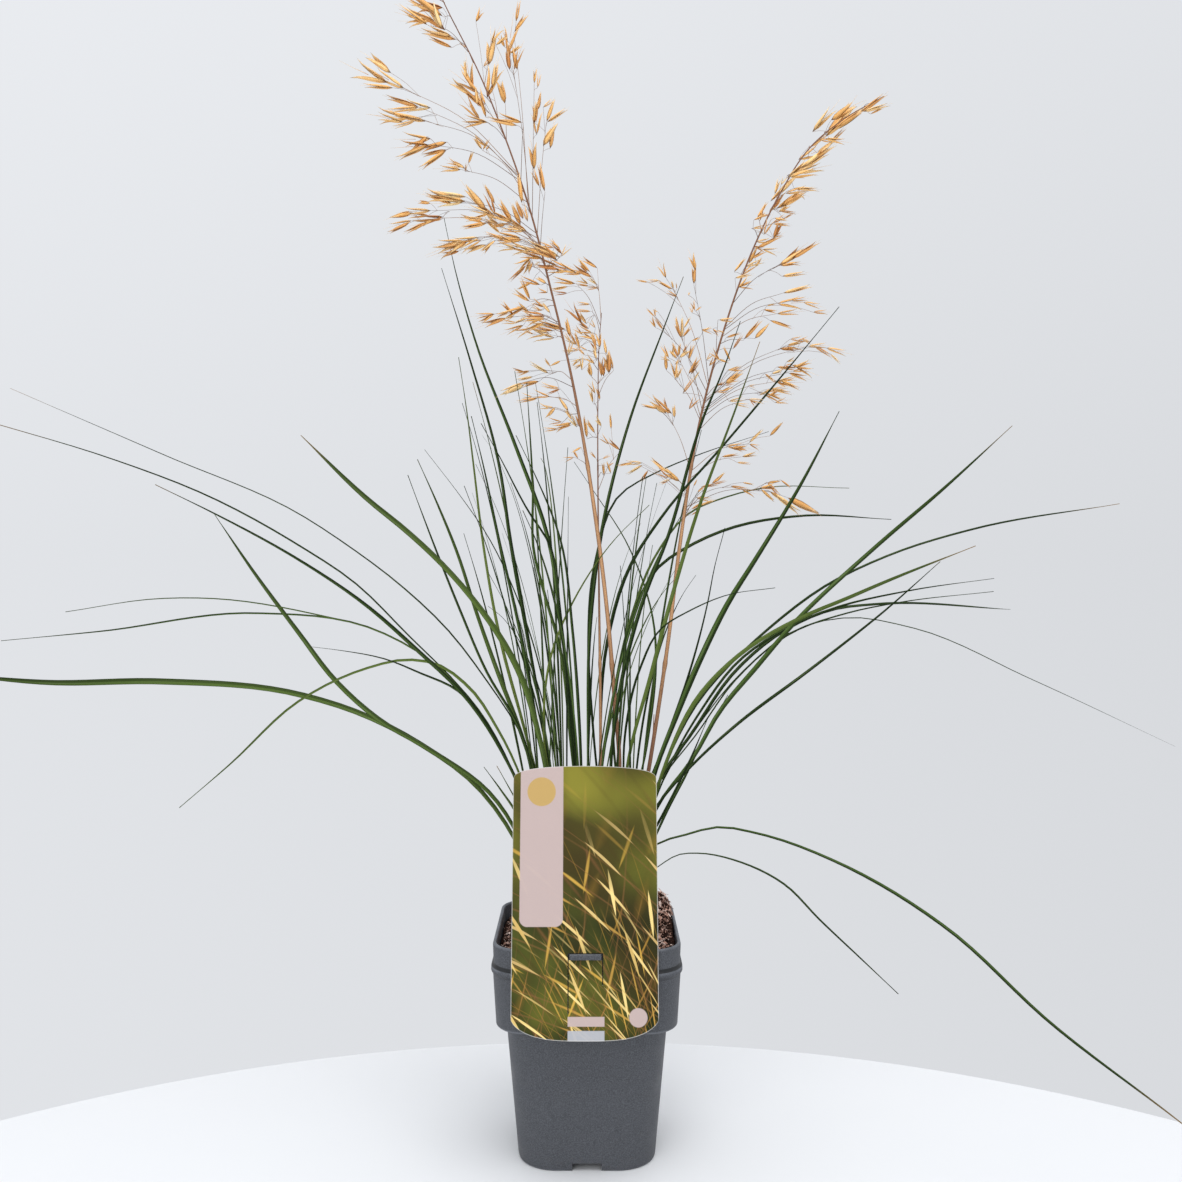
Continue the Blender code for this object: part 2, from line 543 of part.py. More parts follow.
def slot_outline():
    """The slot for the lug, with the two kerfs that free the tongue below it."""
    half, tall = SLOT_HALF, SLOT_HEIGHT / 2
    return [
        (-half, tall), (-half, -KERF_LEFT), (-half + KERF, -KERF_LEFT), (-half + KERF, -tall),
        (half - KERF, -tall), (half - KERF, -KERF_RIGHT), (half, -KERF_RIGHT), (half, tall),
    ]


def build_card(collection):
    outline = bpy.data.curves.new("label_card", "CURVE")
    outline.dimensions = "2D"
    outline.fill_mode = "BOTH"
    outline.extrude = CARD_THICK / 2
    for points, shift in ((card_outline(), (0.0, 0.0)), (slot_outline(), SLOT_SHIFT)):
        spline = outline.splines.new("POLY")
        spline.points.add(len(points) - 1)
        for point, (x, y) in zip(spline.points, points):
            point.co = (x + shift[0], y + shift[1], 0.0, 1.0)
        spline.use_cyclic_u = True
    flat = bpy.data.objects.new("label_card", outline)
    collection.objects.link(flat)
    flat.rotation_euler.x = math.radians(90) - CARD_LEAN
    flat.location = CARD_PIVOT
    bpy.context.view_layer.update()
    graph = bpy.context.evaluated_depsgraph_get()
    mesh = bpy.data.meshes.new_from_object(flat.evaluated_get(graph))
    place = flat.matrix_world.copy()
    bpy.data.objects.remove(flat, do_unlink=True)
    edit = bmesh.new()
    edit.from_mesh(mesh)
    bmesh.ops.remove_doubles(edit, verts=edit.verts, dist=0.00001)
    bmesh.ops.recalc_face_normals(edit, faces=edit.faces)
    edit.to_mesh(mesh)
    edit.free()
    mesh.materials.clear()
    mesh.materials.append(label_print())
    card = bpy.data.objects.new("label_card", mesh)
    card.matrix_world = place
    collection.objects.link(card)
    return card


# ---------------------------------------------------------------- paths and clearances

def smooth_path(points, count):
    """count + 1 points at equal spacing along a smooth curve through the given points."""
    p = np.array(points, float)
    t = np.concatenate([[0.0], np.cumsum(np.linalg.norm(np.diff(p, axis=0), axis=1))])
    slope = np.gradient(p, t, axis=0)
    dense = []
    for i in range(len(p) - 1):
        span = t[i + 1] - t[i]
        for s in np.linspace(0.0, 1.0, 13)[: -1 if i < len(p) - 2 else None]:
            a, b = (1 + 2 * s) * (1 - s) ** 2, s * (1 - s) ** 2
            c, d = s * s * (3 - 2 * s), s * s * (s - 1)
            dense.append(a * p[i] + b * span * slope[i] + c * p[i + 1] + d * span * slope[i + 1])
    dense = np.array(dense)
    run = np.concatenate([[0.0], np.cumsum(np.linalg.norm(np.diff(dense, axis=0), axis=1))])
    wanted = np.linspace(0.0, run[-1], count + 1)
    return np.stack([np.interp(wanted, run, dense[:, k]) for k in range(3)], axis=1)


def segment_distances(p0, p1, q0, q1):
    """Shortest distance between every segment p and every segment q."""
    d1, d2 = (p1 - p0)[:, None, :], (q1 - q0)[None, :, :]
    r = p0[:, None, :] - q0[None, :, :]
    a, e = (d1 * d1).sum(-1), (d2 * d2).sum(-1)
    b, c, f = (d1 * d2).sum(-1), (d1 * r).sum(-1), (d2 * r).sum(-1)
    over = a * e - b * b
    s = np.where(over > 1e-14, np.clip((b * f - c * e) / np.maximum(over, 1e-14), 0, 1), 0.0)
    t = np.clip((b * s + f) / e, 0, 1)
    s = np.clip((b * t - c) / a, 0, 1)
    return np.linalg.norm(r + s[..., None] * d1 - t[..., None] * d2, axis=-1)


class Taken:
    """Segments that already have a place, each with its node and its half width."""

    def __init__(self):
        self.start = np.zeros((0, 3))
        self.end = np.zeros((0, 3))
        self.half = np.zeros(0)
        self.node = np.zeros(0, int)
        self.free = np.zeros(0, bool)

    def add(self, path, half, node, rooted=99):
        """Take the path's segments; those from the rooted-th on stand free of their own node too."""
        count = len(path) - 1
        self.start = np.concatenate([self.start, path[:-1]])
        self.end = np.concatenate([self.end, path[1:]])
        self.half = np.concatenate([self.half, np.broadcast_to(half, count)])
        self.node = np.concatenate([self.node, np.full(count, node)])
        self.free = np.concatenate([self.free, np.arange(count) >= rooted])

    def clear(self, path, half, node, rooted=99):
        """True where the path keeps its distance from other nodes and from free parts of its own."""
        count = len(path) - 1
        away = segment_distances(path[:-1], path[1:], self.start, self.end)
        room = np.broadcast_to(half, count)[:, None] + self.half[None, :] + CLEARANCE
        own = (np.arange(count) < rooted)[:, None] | ~self.free[None, :]
        ignored = (self.node == node)[None, :] & own
        return bool(((away > room) | ignored).all())


def fine(path, parts=6):
    """The path's points with more between them, for tests against a plane."""
    steps = np.linspace(0.0, len(path) - 1, (len(path) - 1) * parts + 1)
    return np.stack([np.interp(steps, np.arange(len(path)), path[:, k]) for k in range(3)], axis=1)


def behind_card(path):
    """True where no point of the path comes within 4 mm of the card or passes before it."""
    lean = math.tan(CARD_LEAN)
    for x, y, z in fine(path):
        plane = CARD_PIVOT[1] + (z - CARD_PIVOT[2]) * lean
        if z < 0.335 and abs(x) < 0.066 and y < plane + 0.004:
            return False
    return True


def over_rim(path):
    """True where the path clears the pot's rim and stays above the ground."""
    for x, y, z in fine(path):
        outside = max(abs(x), abs(y))
        if z < LOWEST_LEAF or (0.060 < outside < 0.084 and z < 0.196):
            return False
    return True


# ---------------------------------------------------------------- leaf shoots

def in_depth(x, z, y):
    """The place at depth y that the front elevation shows at (x, z) millimetres."""
    grow = 1.0 + y / SIGHT_Y
    return (x * MM * grow, y, SIGHT_Z + (z * MM - SIGHT_Z) * grow)


def elevation_route(place, points, depth):
    """A blade's route from its shoot through the elevation's points, back to its depth."""
    run = np.array([(0.0, 0.0)] + [(x - points[0][0], z - points[0][1] + 60.0) for x, z in points])
    along = np.cumsum(np.concatenate([[0.0], np.linalg.norm(np.diff(run, axis=0), axis=1)]))[1:]
    shares = (along / along[-1]) ** 1.25
    foot = (place[0] * MM, place[1] * MM)
    first = (points[0][0] * MM, points[0][1] * MM)
    lean_in = foot[0] + (first[0] - foot[0]) * SHEATH_LEAN
    route = [
        (foot[0], foot[1], BLADE_FOOT_Z),
        (lean_in, foot[1], SHOOT_TOP_Z + (first[1] - SHOOT_TOP_Z) * SHEATH_RISE),
    ]
    for (x, z), share in zip(points, shares):
        route.append(in_depth(x, z, foot[1] + (depth - foot[1]) * share))
    return route


def fill_route(draw, place, lengths=FILL_LENGTH):
    """A blade's route that rises from its shoot and leans over as it goes."""
    foot = np.array((place[0] * MM, place[1] * MM, BLADE_FOOT_Z))
    heading = math.atan2(place[1], place[0]) + draw.gauss(0.0, 0.75)
    length = draw.uniform(*lengths)
    start = math.radians(draw.uniform(2, 13))
    end = math.radians(draw.uniform(14, 82))
    at, route = foot.copy(), [foot.copy()]
    for step in range(10):
        lean = start + (end - start) * (step / 9) ** 1.6
        at = at + length / 10 * np.array((
            math.sin(lean) * math.cos(heading), math.sin(lean) * math.sin(heading), math.cos(lean)))
        route.append(at.copy())
    return route


def inside_tuft(path):
    """True where the front elevation shows the blade within the dense middle of the tuft."""
    for x, y, z in path:
        shrink = 1.0 / (1.0 + y / SIGHT_Y)
        seen_x, seen_z = x * shrink, SIGHT_Z + (z - SIGHT_Z) * shrink
        rise = max(seen_z - 0.310, 0.0)
        if y < -0.060 and seen_z < 0.335:
            return False
        if not -0.060 - 0.24 * rise < seen_x < 0.054 + 0.26 * rise or seen_z > 0.640:
            return False
    return True


def blade_halves(path, width):
    """Half width at each ring: narrow at the sheath, full by half way, drawn out to the tip."""
    share = np.linspace(0.0, 1.0, len(path))
    grown = np.minimum(1.0, 0.46 + 1.2 * share)
    drawn = 1.0 - share ** 2.4
    return np.maximum(width * MM / 2 * grown * drawn, 0.00045)


def place_blades(taken):
    """Every blade as a dictionary: its shoot, midline, half widths and the way that it faces."""
    draw = random.Random(SEED)
    blades = []
    for number, (shoot, width, *points) in enumerate(OUTLINE_BLADES):
        reach = max(abs(x) for x, z in points) * MM
        low = min(z for x, z in points[2:]) * MM
        room = LOW_BLADE_DEPTHS if low < LOW_BLADE_TIP else OUTLINE_DEPTHS
        shoots = [shoot] * 14 + sorted(
            range(len(SHOOT_PLACES)), key=lambda i: abs(SHOOT_PLACES[i][0] - SHOOT_PLACES[shoot][0])) * 8
        for attempt, owner in enumerate(shoots):
            depth = draw.uniform(*room) * min(1.0, reach / 0.25 + 0.2)
            route = elevation_route(SHOOT_PLACES[owner], points, depth)
            path = smooth_path(route, LONG_SEGMENTS if reach > 0.2 else SHORT_SEGMENTS)
            halves = blade_halves(path, width)
            if not (behind_card(path) and over_rim(path)):
                continue
            if taken.clear(path, halves[:-1], owner, ROOTED):
                break
        else:
            print("no room for outline blade", number)
            continue
        roll = draw.uniform(-0.5, 0.5)
        facing = Vector((0.35 * math.copysign(1.0, points[-1][0]) * roll, -1.0, 0.55 + roll)).normalized()
        taken.add(path, halves[:-1], owner, ROOTED)
        blades.append({"shoot": owner, "route": route, "path": path, "halves": halves, "width": width,
                       "facing": facing})
    placed = 0
    for attempt in range(FILL_BLADES * 60):
        if placed == FILL_BLADES:
            break
        owner = placed % len(SHOOT_PLACES) if attempt % 3 else draw.randrange(len(SHOOT_PLACES))
        route = fill_route(draw, SHOOT_PLACES[owner])
        path = smooth_path(route, FILL_SEGMENTS)
        width = draw.uniform(*FILL_WIDTH)
        halves = blade_halves(path, width)
        roll = draw.uniform(-0.9, 0.9)
        if not (inside_tuft(path) and behind_card(path) and over_rim(path)):
            continue
        if not taken.clear(path, halves[:-1], owner, ROOTED):
            continue
        lean = path[-1] - path[0]
        facing = Vector((-lean[0] + roll * lean[1], -lean[1] - roll * lean[0], 0.3 * lean[2])).normalized()
        taken.add(path, halves[:-1], owner, ROOTED)
        blades.append({"shoot": owner, "route": route, "path": path, "halves": halves, "width": width,
                       "facing": facing})
        placed += 1
    print("blades", len(blades), "of them fill", placed)
    return blades


def blade_solid(blade, finish, collection):
    """A three-sided blade: a flat upper face and a keel, ending in a point."""
    path, halves = blade["path"], blade["halves"]
    rings = []
    for i in range(len(path) - 1):
        ahead = path[min(i + 1, len(path) - 1)] - path[max(i - 1, 0)]
        ahead = Vector(ahead).normalized()
        across = blade["facing"].cross(ahead).normalized()
        face = ahead.cross(across)
        deep = max(0.00095 * (1 - 0.3 * i / len(path)), 0.00065)
        at = Vector(path[i])
        rings.append((at + across * halves[i] + face * deep / 3, at - face * deep * 2 / 3,
                      at - across * halves[i] + face * deep / 3))
    points = [point for ring in rings for point in ring] + [Vector(path[-1])]
    faces = [(2, 1, 0)]
    for level in range(len(rings) - 1):
        for i in range(3):
            j = (i + 1) % 3
            faces.append((level * 3 + i, level * 3 + j, level * 3 + 3 + j, level * 3 + 3 + i))
    last = (len(rings) - 1) * 3
    faces += [(last + i, last + (i + 1) % 3, len(points) - 1) for i in range(3)]
    made = object_from("blade", points, faces, finish, collection)
    triangulate(made)
    return made


def outward(obj):
    edit = bmesh.new()
    edit.from_mesh(obj.data)
    bmesh.ops.recalc_face_normals(edit, faces=edit.faces)
    edit.to_mesh(obj.data)
    edit.free()


def build_shoots(collection, blades):
    finish = leaf_green()
    for number, (x, y) in enumerate(SHOOT_PLACES):
        sheath = frustum(
            SHOOT_RADIUS, SHOOT_RADIUS * 0.72, SHOOT_FOOT_Z, SHOOT_TOP_Z, SHOOT_SIDES, (x * MM, y * MM))
        sheath.name = f"leaf_shoot_{number + 1:02d}"
        sheath.data.materials.append(finish)
        for owner in list(sheath.users_collection):
            owner.objects.unlink(sheath)
        collection.objects.link(sheath)
        own = [blade_solid(blade, finish, collection) for blade in blades if blade["shoot"] == number]
        for blade in own:
            outward(blade)
        apply_boolean(sheath, own, "UNION")


# ---------------------------------------------------------------- flower stems

def stem_route(number):
    place = STEM_PLACES[number]
    points = STEM_POINTS[number]
    depth = (place[1] * MM) * 2.2
    tall = points[-1][1] - 200.0
    route = [(place[0] * MM, place[1] * MM, SHOOT_FOOT_Z), (place[0] * MM, place[1] * MM, 0.200)]
    for x, z in points:
        route.append(in_depth(x, z, place[1] * MM + (depth - place[1] * MM) * (z - 200.0) / tall))
    return route


def stem_at(path, z):
    """The point of the stem's path at height z."""
    order = np.argsort(path[:, 2])
    return np.array([np.interp(z, path[order, 2], path[order, k]) for k in range(3)])


def place_spikelets(taken):
    """Sprays and spikelets of each flower stem, drawn again until they clear the other stems."""
    draw = random.Random(SEED + 1)
    stems = []
    for number, sprays in enumerate(SPRAYS):
        path = smooth_path(stem_route(number), 15)
        taken.add(path, STEM_RADII[number], 100 + number)
        stems.append({"path": path, "sprays": []})
    for number, sprays in enumerate(SPRAYS):
        stem = stems[number]
        for z, *places in sprays:
            for attempt in range(60):
                spray = draw_spray(draw, stem["path"], z, places)
                parts = [spray["path"]]
                parts += [np.array((s["root"], s["foot"], s["tip"])) for s in spray["spikelets"]]
                if all(taken.clear(part, SPRAY_ROOM, 100 + number) for part in parts):
                    break
            else:
                print("no room for a spray of stem", number, "at", z)
                continue
            for part in parts:
                taken.add(part, SPRAY_TAKES, 100 + number)
            stem["sprays"].append(spray)
    print("spikelets", [sum(len(spray["spikelets"]) for spray in stem["sprays"]) for stem in stems])
    return stems


def draw_spray(draw, stem, z, places):
    start = stem_at(stem, SIGHT_Z + (z * MM - SIGHT_Z) * (1 + stem_at(stem, z * MM)[1] / SIGHT_Y))
    depth = start[1] + draw.uniform(-SPRAY_DEPTH, SPRAY_DEPTH)
    end = np.array(in_depth(places[0][0], places[0][1], depth))
    middle = start + (end - start) * 0.5 + np.array((0.0, 0.0, 0.10 * np.linalg.norm(end - start)))
    route = [start, middle, end]
    path = smooth_path(route, 2)
    spikelets = []
    for foot_x, foot_z, tip_x, tip_z in places:
        near = depth if not spikelets else depth + draw.uniform(-SPIKELET_DEPTH, SPIKELET_DEPTH)
        foot = np.array(in_depth(foot_x, foot_z, near))
        tip = np.array(in_depth(tip_x, tip_z, near + draw.uniform(-SPIKELET_DEPTH, SPIKELET_DEPTH)))
        root = root_on(path, foot) if spikelets else foot - (tip - foot) * 0.006
        spikelets.append({
            "root": root, "foot": foot, "tip": tip, "fork": draw.uniform(0.03, 0.12), "roll": draw.uniform(-1.2, 1.2),
        })
    return {"route": route, "path": path, "spikelets": spikelets}


def root_on(path, foot):
    """Where the stalk of a spikelet leaves its branch: behind the point that lies nearest its foot."""
    shares = np.linspace(0.05, 1.0, 39)
    gaps = [np.linalg.norm(smooth_point(path, share) - foot) for share in shares]
    near = int(np.argmin(gaps))
    long = np.linalg.norm(path[-1] - path[0])
    return smooth_point(path, max(shares[near] - 0.8 * gaps[near] / long, 0.05))


def smooth_point(path, share):
    place = share * (len(path) - 1)
    low = min(int(place), len(path) - 2)
    return path[low] + (path[low + 1] - path[low]) * (place - low)


def rod(path, radii, sides, finish, collection):
    """A thin tapering stem: rings of a few sides along the path, capped at both ends."""
    rings = []
    whole = Vector(path[-1] - path[0]).normalized()
    away = Vector((0.0, 1.0, 0.05)) if abs(whole.y) < 0.8 else Vector((1.0, 0.0, 0.05))
    for i in range(len(path)):
        ahead = Vector(path[min(i + 1, len(path) - 1)] - path[max(i - 1, 0)]).normalized()
        across = ahead.cross(away).normalized()
        other = ahead.cross(across)
        ring = []
        for side in range(sides):
            turn = 2 * math.pi * side / sides
            ring.append(Vector(path[i]) + (across * math.cos(turn) + other * math.sin(turn)) * radii[i])
        rings.append(ring)
    points, faces = loft(rings)
    made = object_from("rod", points, faces, finish, collection)
    triangulate(made)
    outward(made)
    return made


def bent(spikelet):
    """True where the stalk turns too sharply into its spikelet for both to be one solid."""
    stalk, along = (Vector(spikelet[b]) - Vector(spikelet[a]) for a, b in (("root", "foot"), ("foot", "tip")))
    return stalk.length > 0.001 and stalk.normalized().dot(along.normalized()) < 0.55


def spikelet_solid(spikelet, finish, collection):
    """A spikelet as a closed spindle of eight faces; its first point is the start of its stalk."""
    foot, tip = Vector(spikelet["foot"]), Vector(spikelet["tip"])
    length = (tip - foot).length
    ahead = (tip - foot).normalized()
    side = ahead.cross(Vector((math.sin(spikelet["roll"]), math.cos(spikelet["roll"]), 0.1))).normalized()
    face = ahead.cross(side)
    waist = foot + ahead * length * 0.36
    half, thick = (size * min(1.0, length / SPIKELET_FULL) for size in (SPIKELET_HALF, SPIKELET_THICK))
    start = foot - ahead * 0.00015 if bent(spikelet) else Vector(spikelet["root"])
    points = [start, waist + side * half, waist + face * thick, waist - side * half, waist - face * thick, tip]
    faces = [(0, 2, 1), (0, 3, 2), (0, 4, 3), (0, 1, 4), (1, 2, 5), (2, 3, 5), (3, 4, 5), (4, 1, 5)]
    made = object_from("spikelet", points, faces, finish, collection)
    outward(made)
    return made


def build_stems(collection, stems):
    finish = ripe_straw()
    for number, stem in enumerate(stems):
        path = stem["path"]
        radii = np.linspace(STEM_RADII[number], 0.0006, len(path))
        culm = rod(path, radii, 5, finish, collection)
        culm.name = f"flower_stem_{number + 1}"
        own = []
        for spray in stem["sprays"]:
            own.append(rod(spray["path"], np.full(len(spray["path"]), SPRAY_RADIUS), 3, finish, collection))
            for spikelet in spray["spikelets"][:SOLID_SPIKELETS]:
                own.append(spikelet_solid(spikelet, finish, collection))
                if bent(spikelet):
                    root, foot = spikelet["root"], spikelet["foot"]
                    end = foot + (foot - root) / np.linalg.norm(foot - root) * 0.0003
                    own.append(rod(np.array((root, end)), np.full(2, SPRAY_RADIUS), 3, finish, collection))
        apply_boolean(culm, own, "UNION")


def main():
    clear_scene()
    plant = new_collection("giant_feather_grass")
    build_pot(plant)
    taken = Taken()
    for number, (x, y) in enumerate(SHOOT_PLACES):
        sheath = np.array(((x * MM, y * MM, SHOOT_FOOT_Z), (x * MM, y * MM, SHOOT_TOP_Z + 0.004)))
        taken.add(sheath, SHOOT_RADIUS, number)
    stems = place_spikelets(taken)
    blades = place_blades(taken)
    holes = [(x * MM, y * MM, SHOOT_RADIUS, SHOOT_SIDES) for x, y in SHOOT_PLACES]
    holes += [(x * MM, y * MM, radius * 1.3, 5) for (x, y), radius in zip(STEM_PLACES, STEM_RADII)]
    build_soil(plant, holes)
    build_card(plant)
    build_shoots(plant, blades)
    build_stems(plant, stems)
    for obj in plant.objects:
        if obj.name.startswith("leaf_shoot"):
            obj.data.set_sharp_from_angle(angle=math.radians(30))


main()
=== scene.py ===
# %% [markdown]
# # Giant feather grass in a nursery pot
#
# The plant is a tuft of long narrow leaves with three tall flower stems, growing in a deep
# square pot. A printed card hangs on a lug at the front of the rim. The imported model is
# loaded first and stays where it is: each piece below replaces one of its plain solids with
# a finer one in the same place, and all of them ride on the one body, "root".

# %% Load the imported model
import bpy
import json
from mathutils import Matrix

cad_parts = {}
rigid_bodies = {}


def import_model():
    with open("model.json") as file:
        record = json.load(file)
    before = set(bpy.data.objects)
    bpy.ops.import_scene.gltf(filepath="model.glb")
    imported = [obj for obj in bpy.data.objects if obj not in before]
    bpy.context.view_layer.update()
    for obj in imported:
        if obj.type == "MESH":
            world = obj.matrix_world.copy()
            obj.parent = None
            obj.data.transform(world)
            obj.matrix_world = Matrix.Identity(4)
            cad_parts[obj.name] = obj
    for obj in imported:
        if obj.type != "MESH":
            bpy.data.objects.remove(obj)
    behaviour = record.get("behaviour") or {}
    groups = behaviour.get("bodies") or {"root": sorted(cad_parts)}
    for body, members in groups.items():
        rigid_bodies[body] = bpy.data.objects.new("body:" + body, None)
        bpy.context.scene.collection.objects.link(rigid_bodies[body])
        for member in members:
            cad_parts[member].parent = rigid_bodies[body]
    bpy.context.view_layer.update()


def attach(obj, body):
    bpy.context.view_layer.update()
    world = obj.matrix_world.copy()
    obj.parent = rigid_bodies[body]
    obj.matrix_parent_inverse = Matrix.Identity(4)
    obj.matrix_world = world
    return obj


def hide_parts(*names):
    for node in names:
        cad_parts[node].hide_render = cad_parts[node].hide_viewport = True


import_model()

# %% Modules and units
import json
import math
import random

import bmesh
import bpy
import numpy as np
from mathutils import Matrix, Vector, noise

MM = 0.001

# %% [markdown]
# ## Camera
#
# The view is square, from just over a metre in front of the pot and half a metre up, level,
# so that upright things stay upright. A level camera needs a little vertical shift to frame
# the pot's foot, where tilting it down would make the pot's sides converge.

# %% Camera
SIGHT_Y = 1.065
SIGHT_Z = 0.488
CAMERA_SIDE = 0.0033
CAMERA_LENS = 38.98
CAMERA_SENSOR = 36.0
CAMERA_SHIFT = -0.0321

camera_data = bpy.data.cameras.new("camera")
camera_data.lens = CAMERA_LENS
camera_data.sensor_width = CAMERA_SENSOR
camera_data.shift_y = CAMERA_SHIFT
camera = bpy.data.objects.new("camera", camera_data)
camera.location = (CAMERA_SIDE, -SIGHT_Y, SIGHT_Z)
camera.rotation_euler = (math.radians(90), 0.0, 0.0)
bpy.context.scene.collection.objects.link(camera)
bpy.context.scene.camera = camera
print("camera", tuple(round(c, 3) for c in camera.location))

# %% [markdown]
# ## Short ways to write a node tree
#
# Materials, shader groups and Geometry Nodes trees are all node trees, so a few helpers
# serve all three. Some nodes carry hidden sockets of the same name for other data types;
# picking the enabled one keeps the code free of index numbers.

# %% Helpers for node trees
def socket_of(sockets, key):
    """A socket by its index, or the enabled one of that name."""
    if isinstance(key, int):
        return sockets[key]
    return next(socket for socket in sockets if socket.name == key and socket.enabled)


def add_node(tree, kind, inputs=None, **settings):
    """Add a node, set its properties, then fill each input with a value or a link."""
    made = tree.nodes.new(kind)
    for name, value in settings.items():
        setattr(made, name, value)
    for key, value in (inputs or {}).items():
        socket = socket_of(made.inputs, key)
        if isinstance(value, bpy.types.NodeSocket):
            tree.links.new(value, socket)
        else:
            socket.default_value = value
    return made


def out(node, name=0):
    return socket_of(node.outputs, name)


def feed(node, name, value):
    """Link a value into a node's input."""
    node.id_data.links.new(value, node.inputs[name])


def tree_of(*values):
    """The node tree that the linked ones of these values belong to."""
    return next(value.id_data for value in values if isinstance(value, bpy.types.NodeSocket))


def calc(operation, *values):
    """One Math node on values or links; its result."""
    return out(add_node(tree_of(*values), "ShaderNodeMath", dict(enumerate(values)), operation=operation))


def times(first, second):
    return calc("MULTIPLY", first, second)


def plus(first, second):
    return calc("ADD", first, second)


def minus(first, second):
    return calc("SUBTRACT", first, second)


def unsigned(value):
    return calc("ABSOLUTE", value)


def smaller(first, second):
    return calc("MINIMUM", first, second)


def largest(first, *others):
    """The largest of several values. A Math node compares only two, so they are chained."""
    for other in others:
        first = calc("MAXIMUM", first, other)
    return first


def spread(value, low, high, to_low=0.0, to_high=1.0):
    """The value's range low to high stretched to another range, and held at its ends."""
    ranges = {"Value": value, "From Min": low, "From Max": high, "To Min": to_low, "To Max": to_high}
    return out(add_node(tree_of(value), "ShaderNodeMapRange", ranges))


def paint(red, green, blue):
    return (red, green, blue, 1.0)


def mix(factor, first, second):
    """One colour over another."""
    colours = {"Factor": factor, "A": first, "B": second}
    return out(add_node(tree_of(factor, first, second), "ShaderNodeMix", colours, data_type="RGBA"), "Result")


def vector_of(x, y, z):
    return out(add_node(tree_of(x, y, z), "ShaderNodeCombineXYZ", {"X": x, "Y": y, "Z": z}))


def noise_of(vector, scale, detail=2.0, roughness=0.5):
    fields = {"Vector": vector, "Scale": scale, "Detail": detail, "Roughness": roughness}
    return out(add_node(tree_of(vector), "ShaderNodeTexNoise", fields))


def read(tree, name):
    """A number that each point of the mesh carries under this name."""
    return out(add_node(tree, "ShaderNodeAttribute", attribute_name=name), "Fac")


NUMBER = "NodeSocketFloat"
GEOMETRY = "NodeSocketGeometry"
COLOUR = "NodeSocketColor"


def new_group(name, inputs, outputs, kind="ShaderNodeTree"):
    """A node group with named sockets; returns it with its input and output nodes."""
    group = bpy.data.node_groups.new(name, kind)
    for label, socket_type, value in inputs:
        socket = group.interface.new_socket(label, in_out="INPUT", socket_type=socket_type)
        if value is not None:
            socket.default_value = value
    for label, socket_type in outputs:
        group.interface.new_socket(label, in_out="OUTPUT", socket_type=socket_type)
    return group, group.nodes.new("NodeGroupInput"), group.nodes.new("NodeGroupOutput")

# %% Helpers for Geometry Nodes
def stored(tree, name, kind="FLOAT"):
    """A value that each point carries under this name, as Geometry Nodes read it."""
    return out(add_node(tree, "GeometryNodeInputNamedAttribute", {"Name": name}, data_type=kind), "Attribute")


def random_of(tree, low, high, seed, kind="FLOAT"):
    """A random value for each point, between these two."""
    ends = {"Min": low, "Max": high, "Seed": seed}
    return out(add_node(tree, "FunctionNodeRandomValue", ends, data_type=kind), "Value")


def rotation_of(angles):
    return out(add_node(tree_of(angles), "FunctionNodeEulerToRotation", {0: angles}))


def copies_of(tree, given, **inputs):
    """Copies of the given collection's shapes on points, each one picked by its index."""
    shapes = add_node(tree, "GeometryNodeCollectionInfo", {
        "Collection": out(given, "Shapes"), "Separate Children": True, "Reset Children": True})
    named = {name.replace("_", " "): value for name, value in inputs.items()}
    return out(add_node(tree, "GeometryNodeInstanceOnPoints", {
        "Instance": out(shapes), "Pick Instance": True} | named))


def end_tree(tree, given, result, geometry):
    """End a tree as the export needs it: copies made real, with their finish set."""
    real = add_node(tree, "GeometryNodeRealizeInstances", {"Geometry": geometry})
    finished = add_node(tree, "GeometryNodeSetMaterial", {
        "Geometry": out(real), "Material": out(given, "Finish")})
    tree.links.new(out(finished), result.inputs[0])
    return tree

# %% [markdown]
# ## Effects that several finishes share
#
# Leaves, husks and stalks all show fine fibres that run along them. The group reads two
# coordinates that the mesh carries, how far along the strand a point lies and how far
# across, so the fibres bend with each leaf. Object coordinates would cut through them.

# %% Shader group: fibres along a strand
def make_fibre_streaks():
    group, given, result = new_group(
        "fibre_streaks",
        [("Along", NUMBER, 0.0), ("Across", NUMBER, 0.0), ("Seed", NUMBER, 0.0),
         ("Veins", NUMBER, 24.0), ("Stretch", NUMBER, 6.0)],
        [("Vein", NUMBER), ("Streak", NUMBER)],
    )
    wave = calc("SINE", times(out(given, "Across"), out(given, "Veins")))
    vein = calc("MULTIPLY_ADD", wave, 0.5, 0.5)
    place = vector_of(
        times(out(given, "Across"), 2.4),
        times(out(given, "Along"), out(given, "Stretch")),
        times(out(given, "Seed"), 40.0),
    )
    feed(result, "Vein", vein)
    feed(result, "Streak", noise_of(place, 1.0, 3.0))
    return group


def fibres_of(along, across, seed, veins, stretch):
    """How far into a vein and how far into a streak each point lies."""
    fields = {"Along": along, "Across": across, "Seed": seed, "Veins": veins, "Stretch": stretch}
    made = add_node(tree_of(along), "ShaderNodeGroup", fields, node_tree=fibre_streaks)
    return out(made, "Vein"), out(made, "Streak")


fibre_streaks = make_fibre_streaks()
print(fibre_streaks.name, [socket.name for socket in fibre_streaks.interface.items_tree])

# %% [markdown]
# A plant's parts are never all one tone: each leaf, husk and chip of bark was given a
# number between 0 and 1, "tint", and this group turns it into one of three tones with the
# steps between them. A colour ramp could do the same, but its colours can't be inputs.

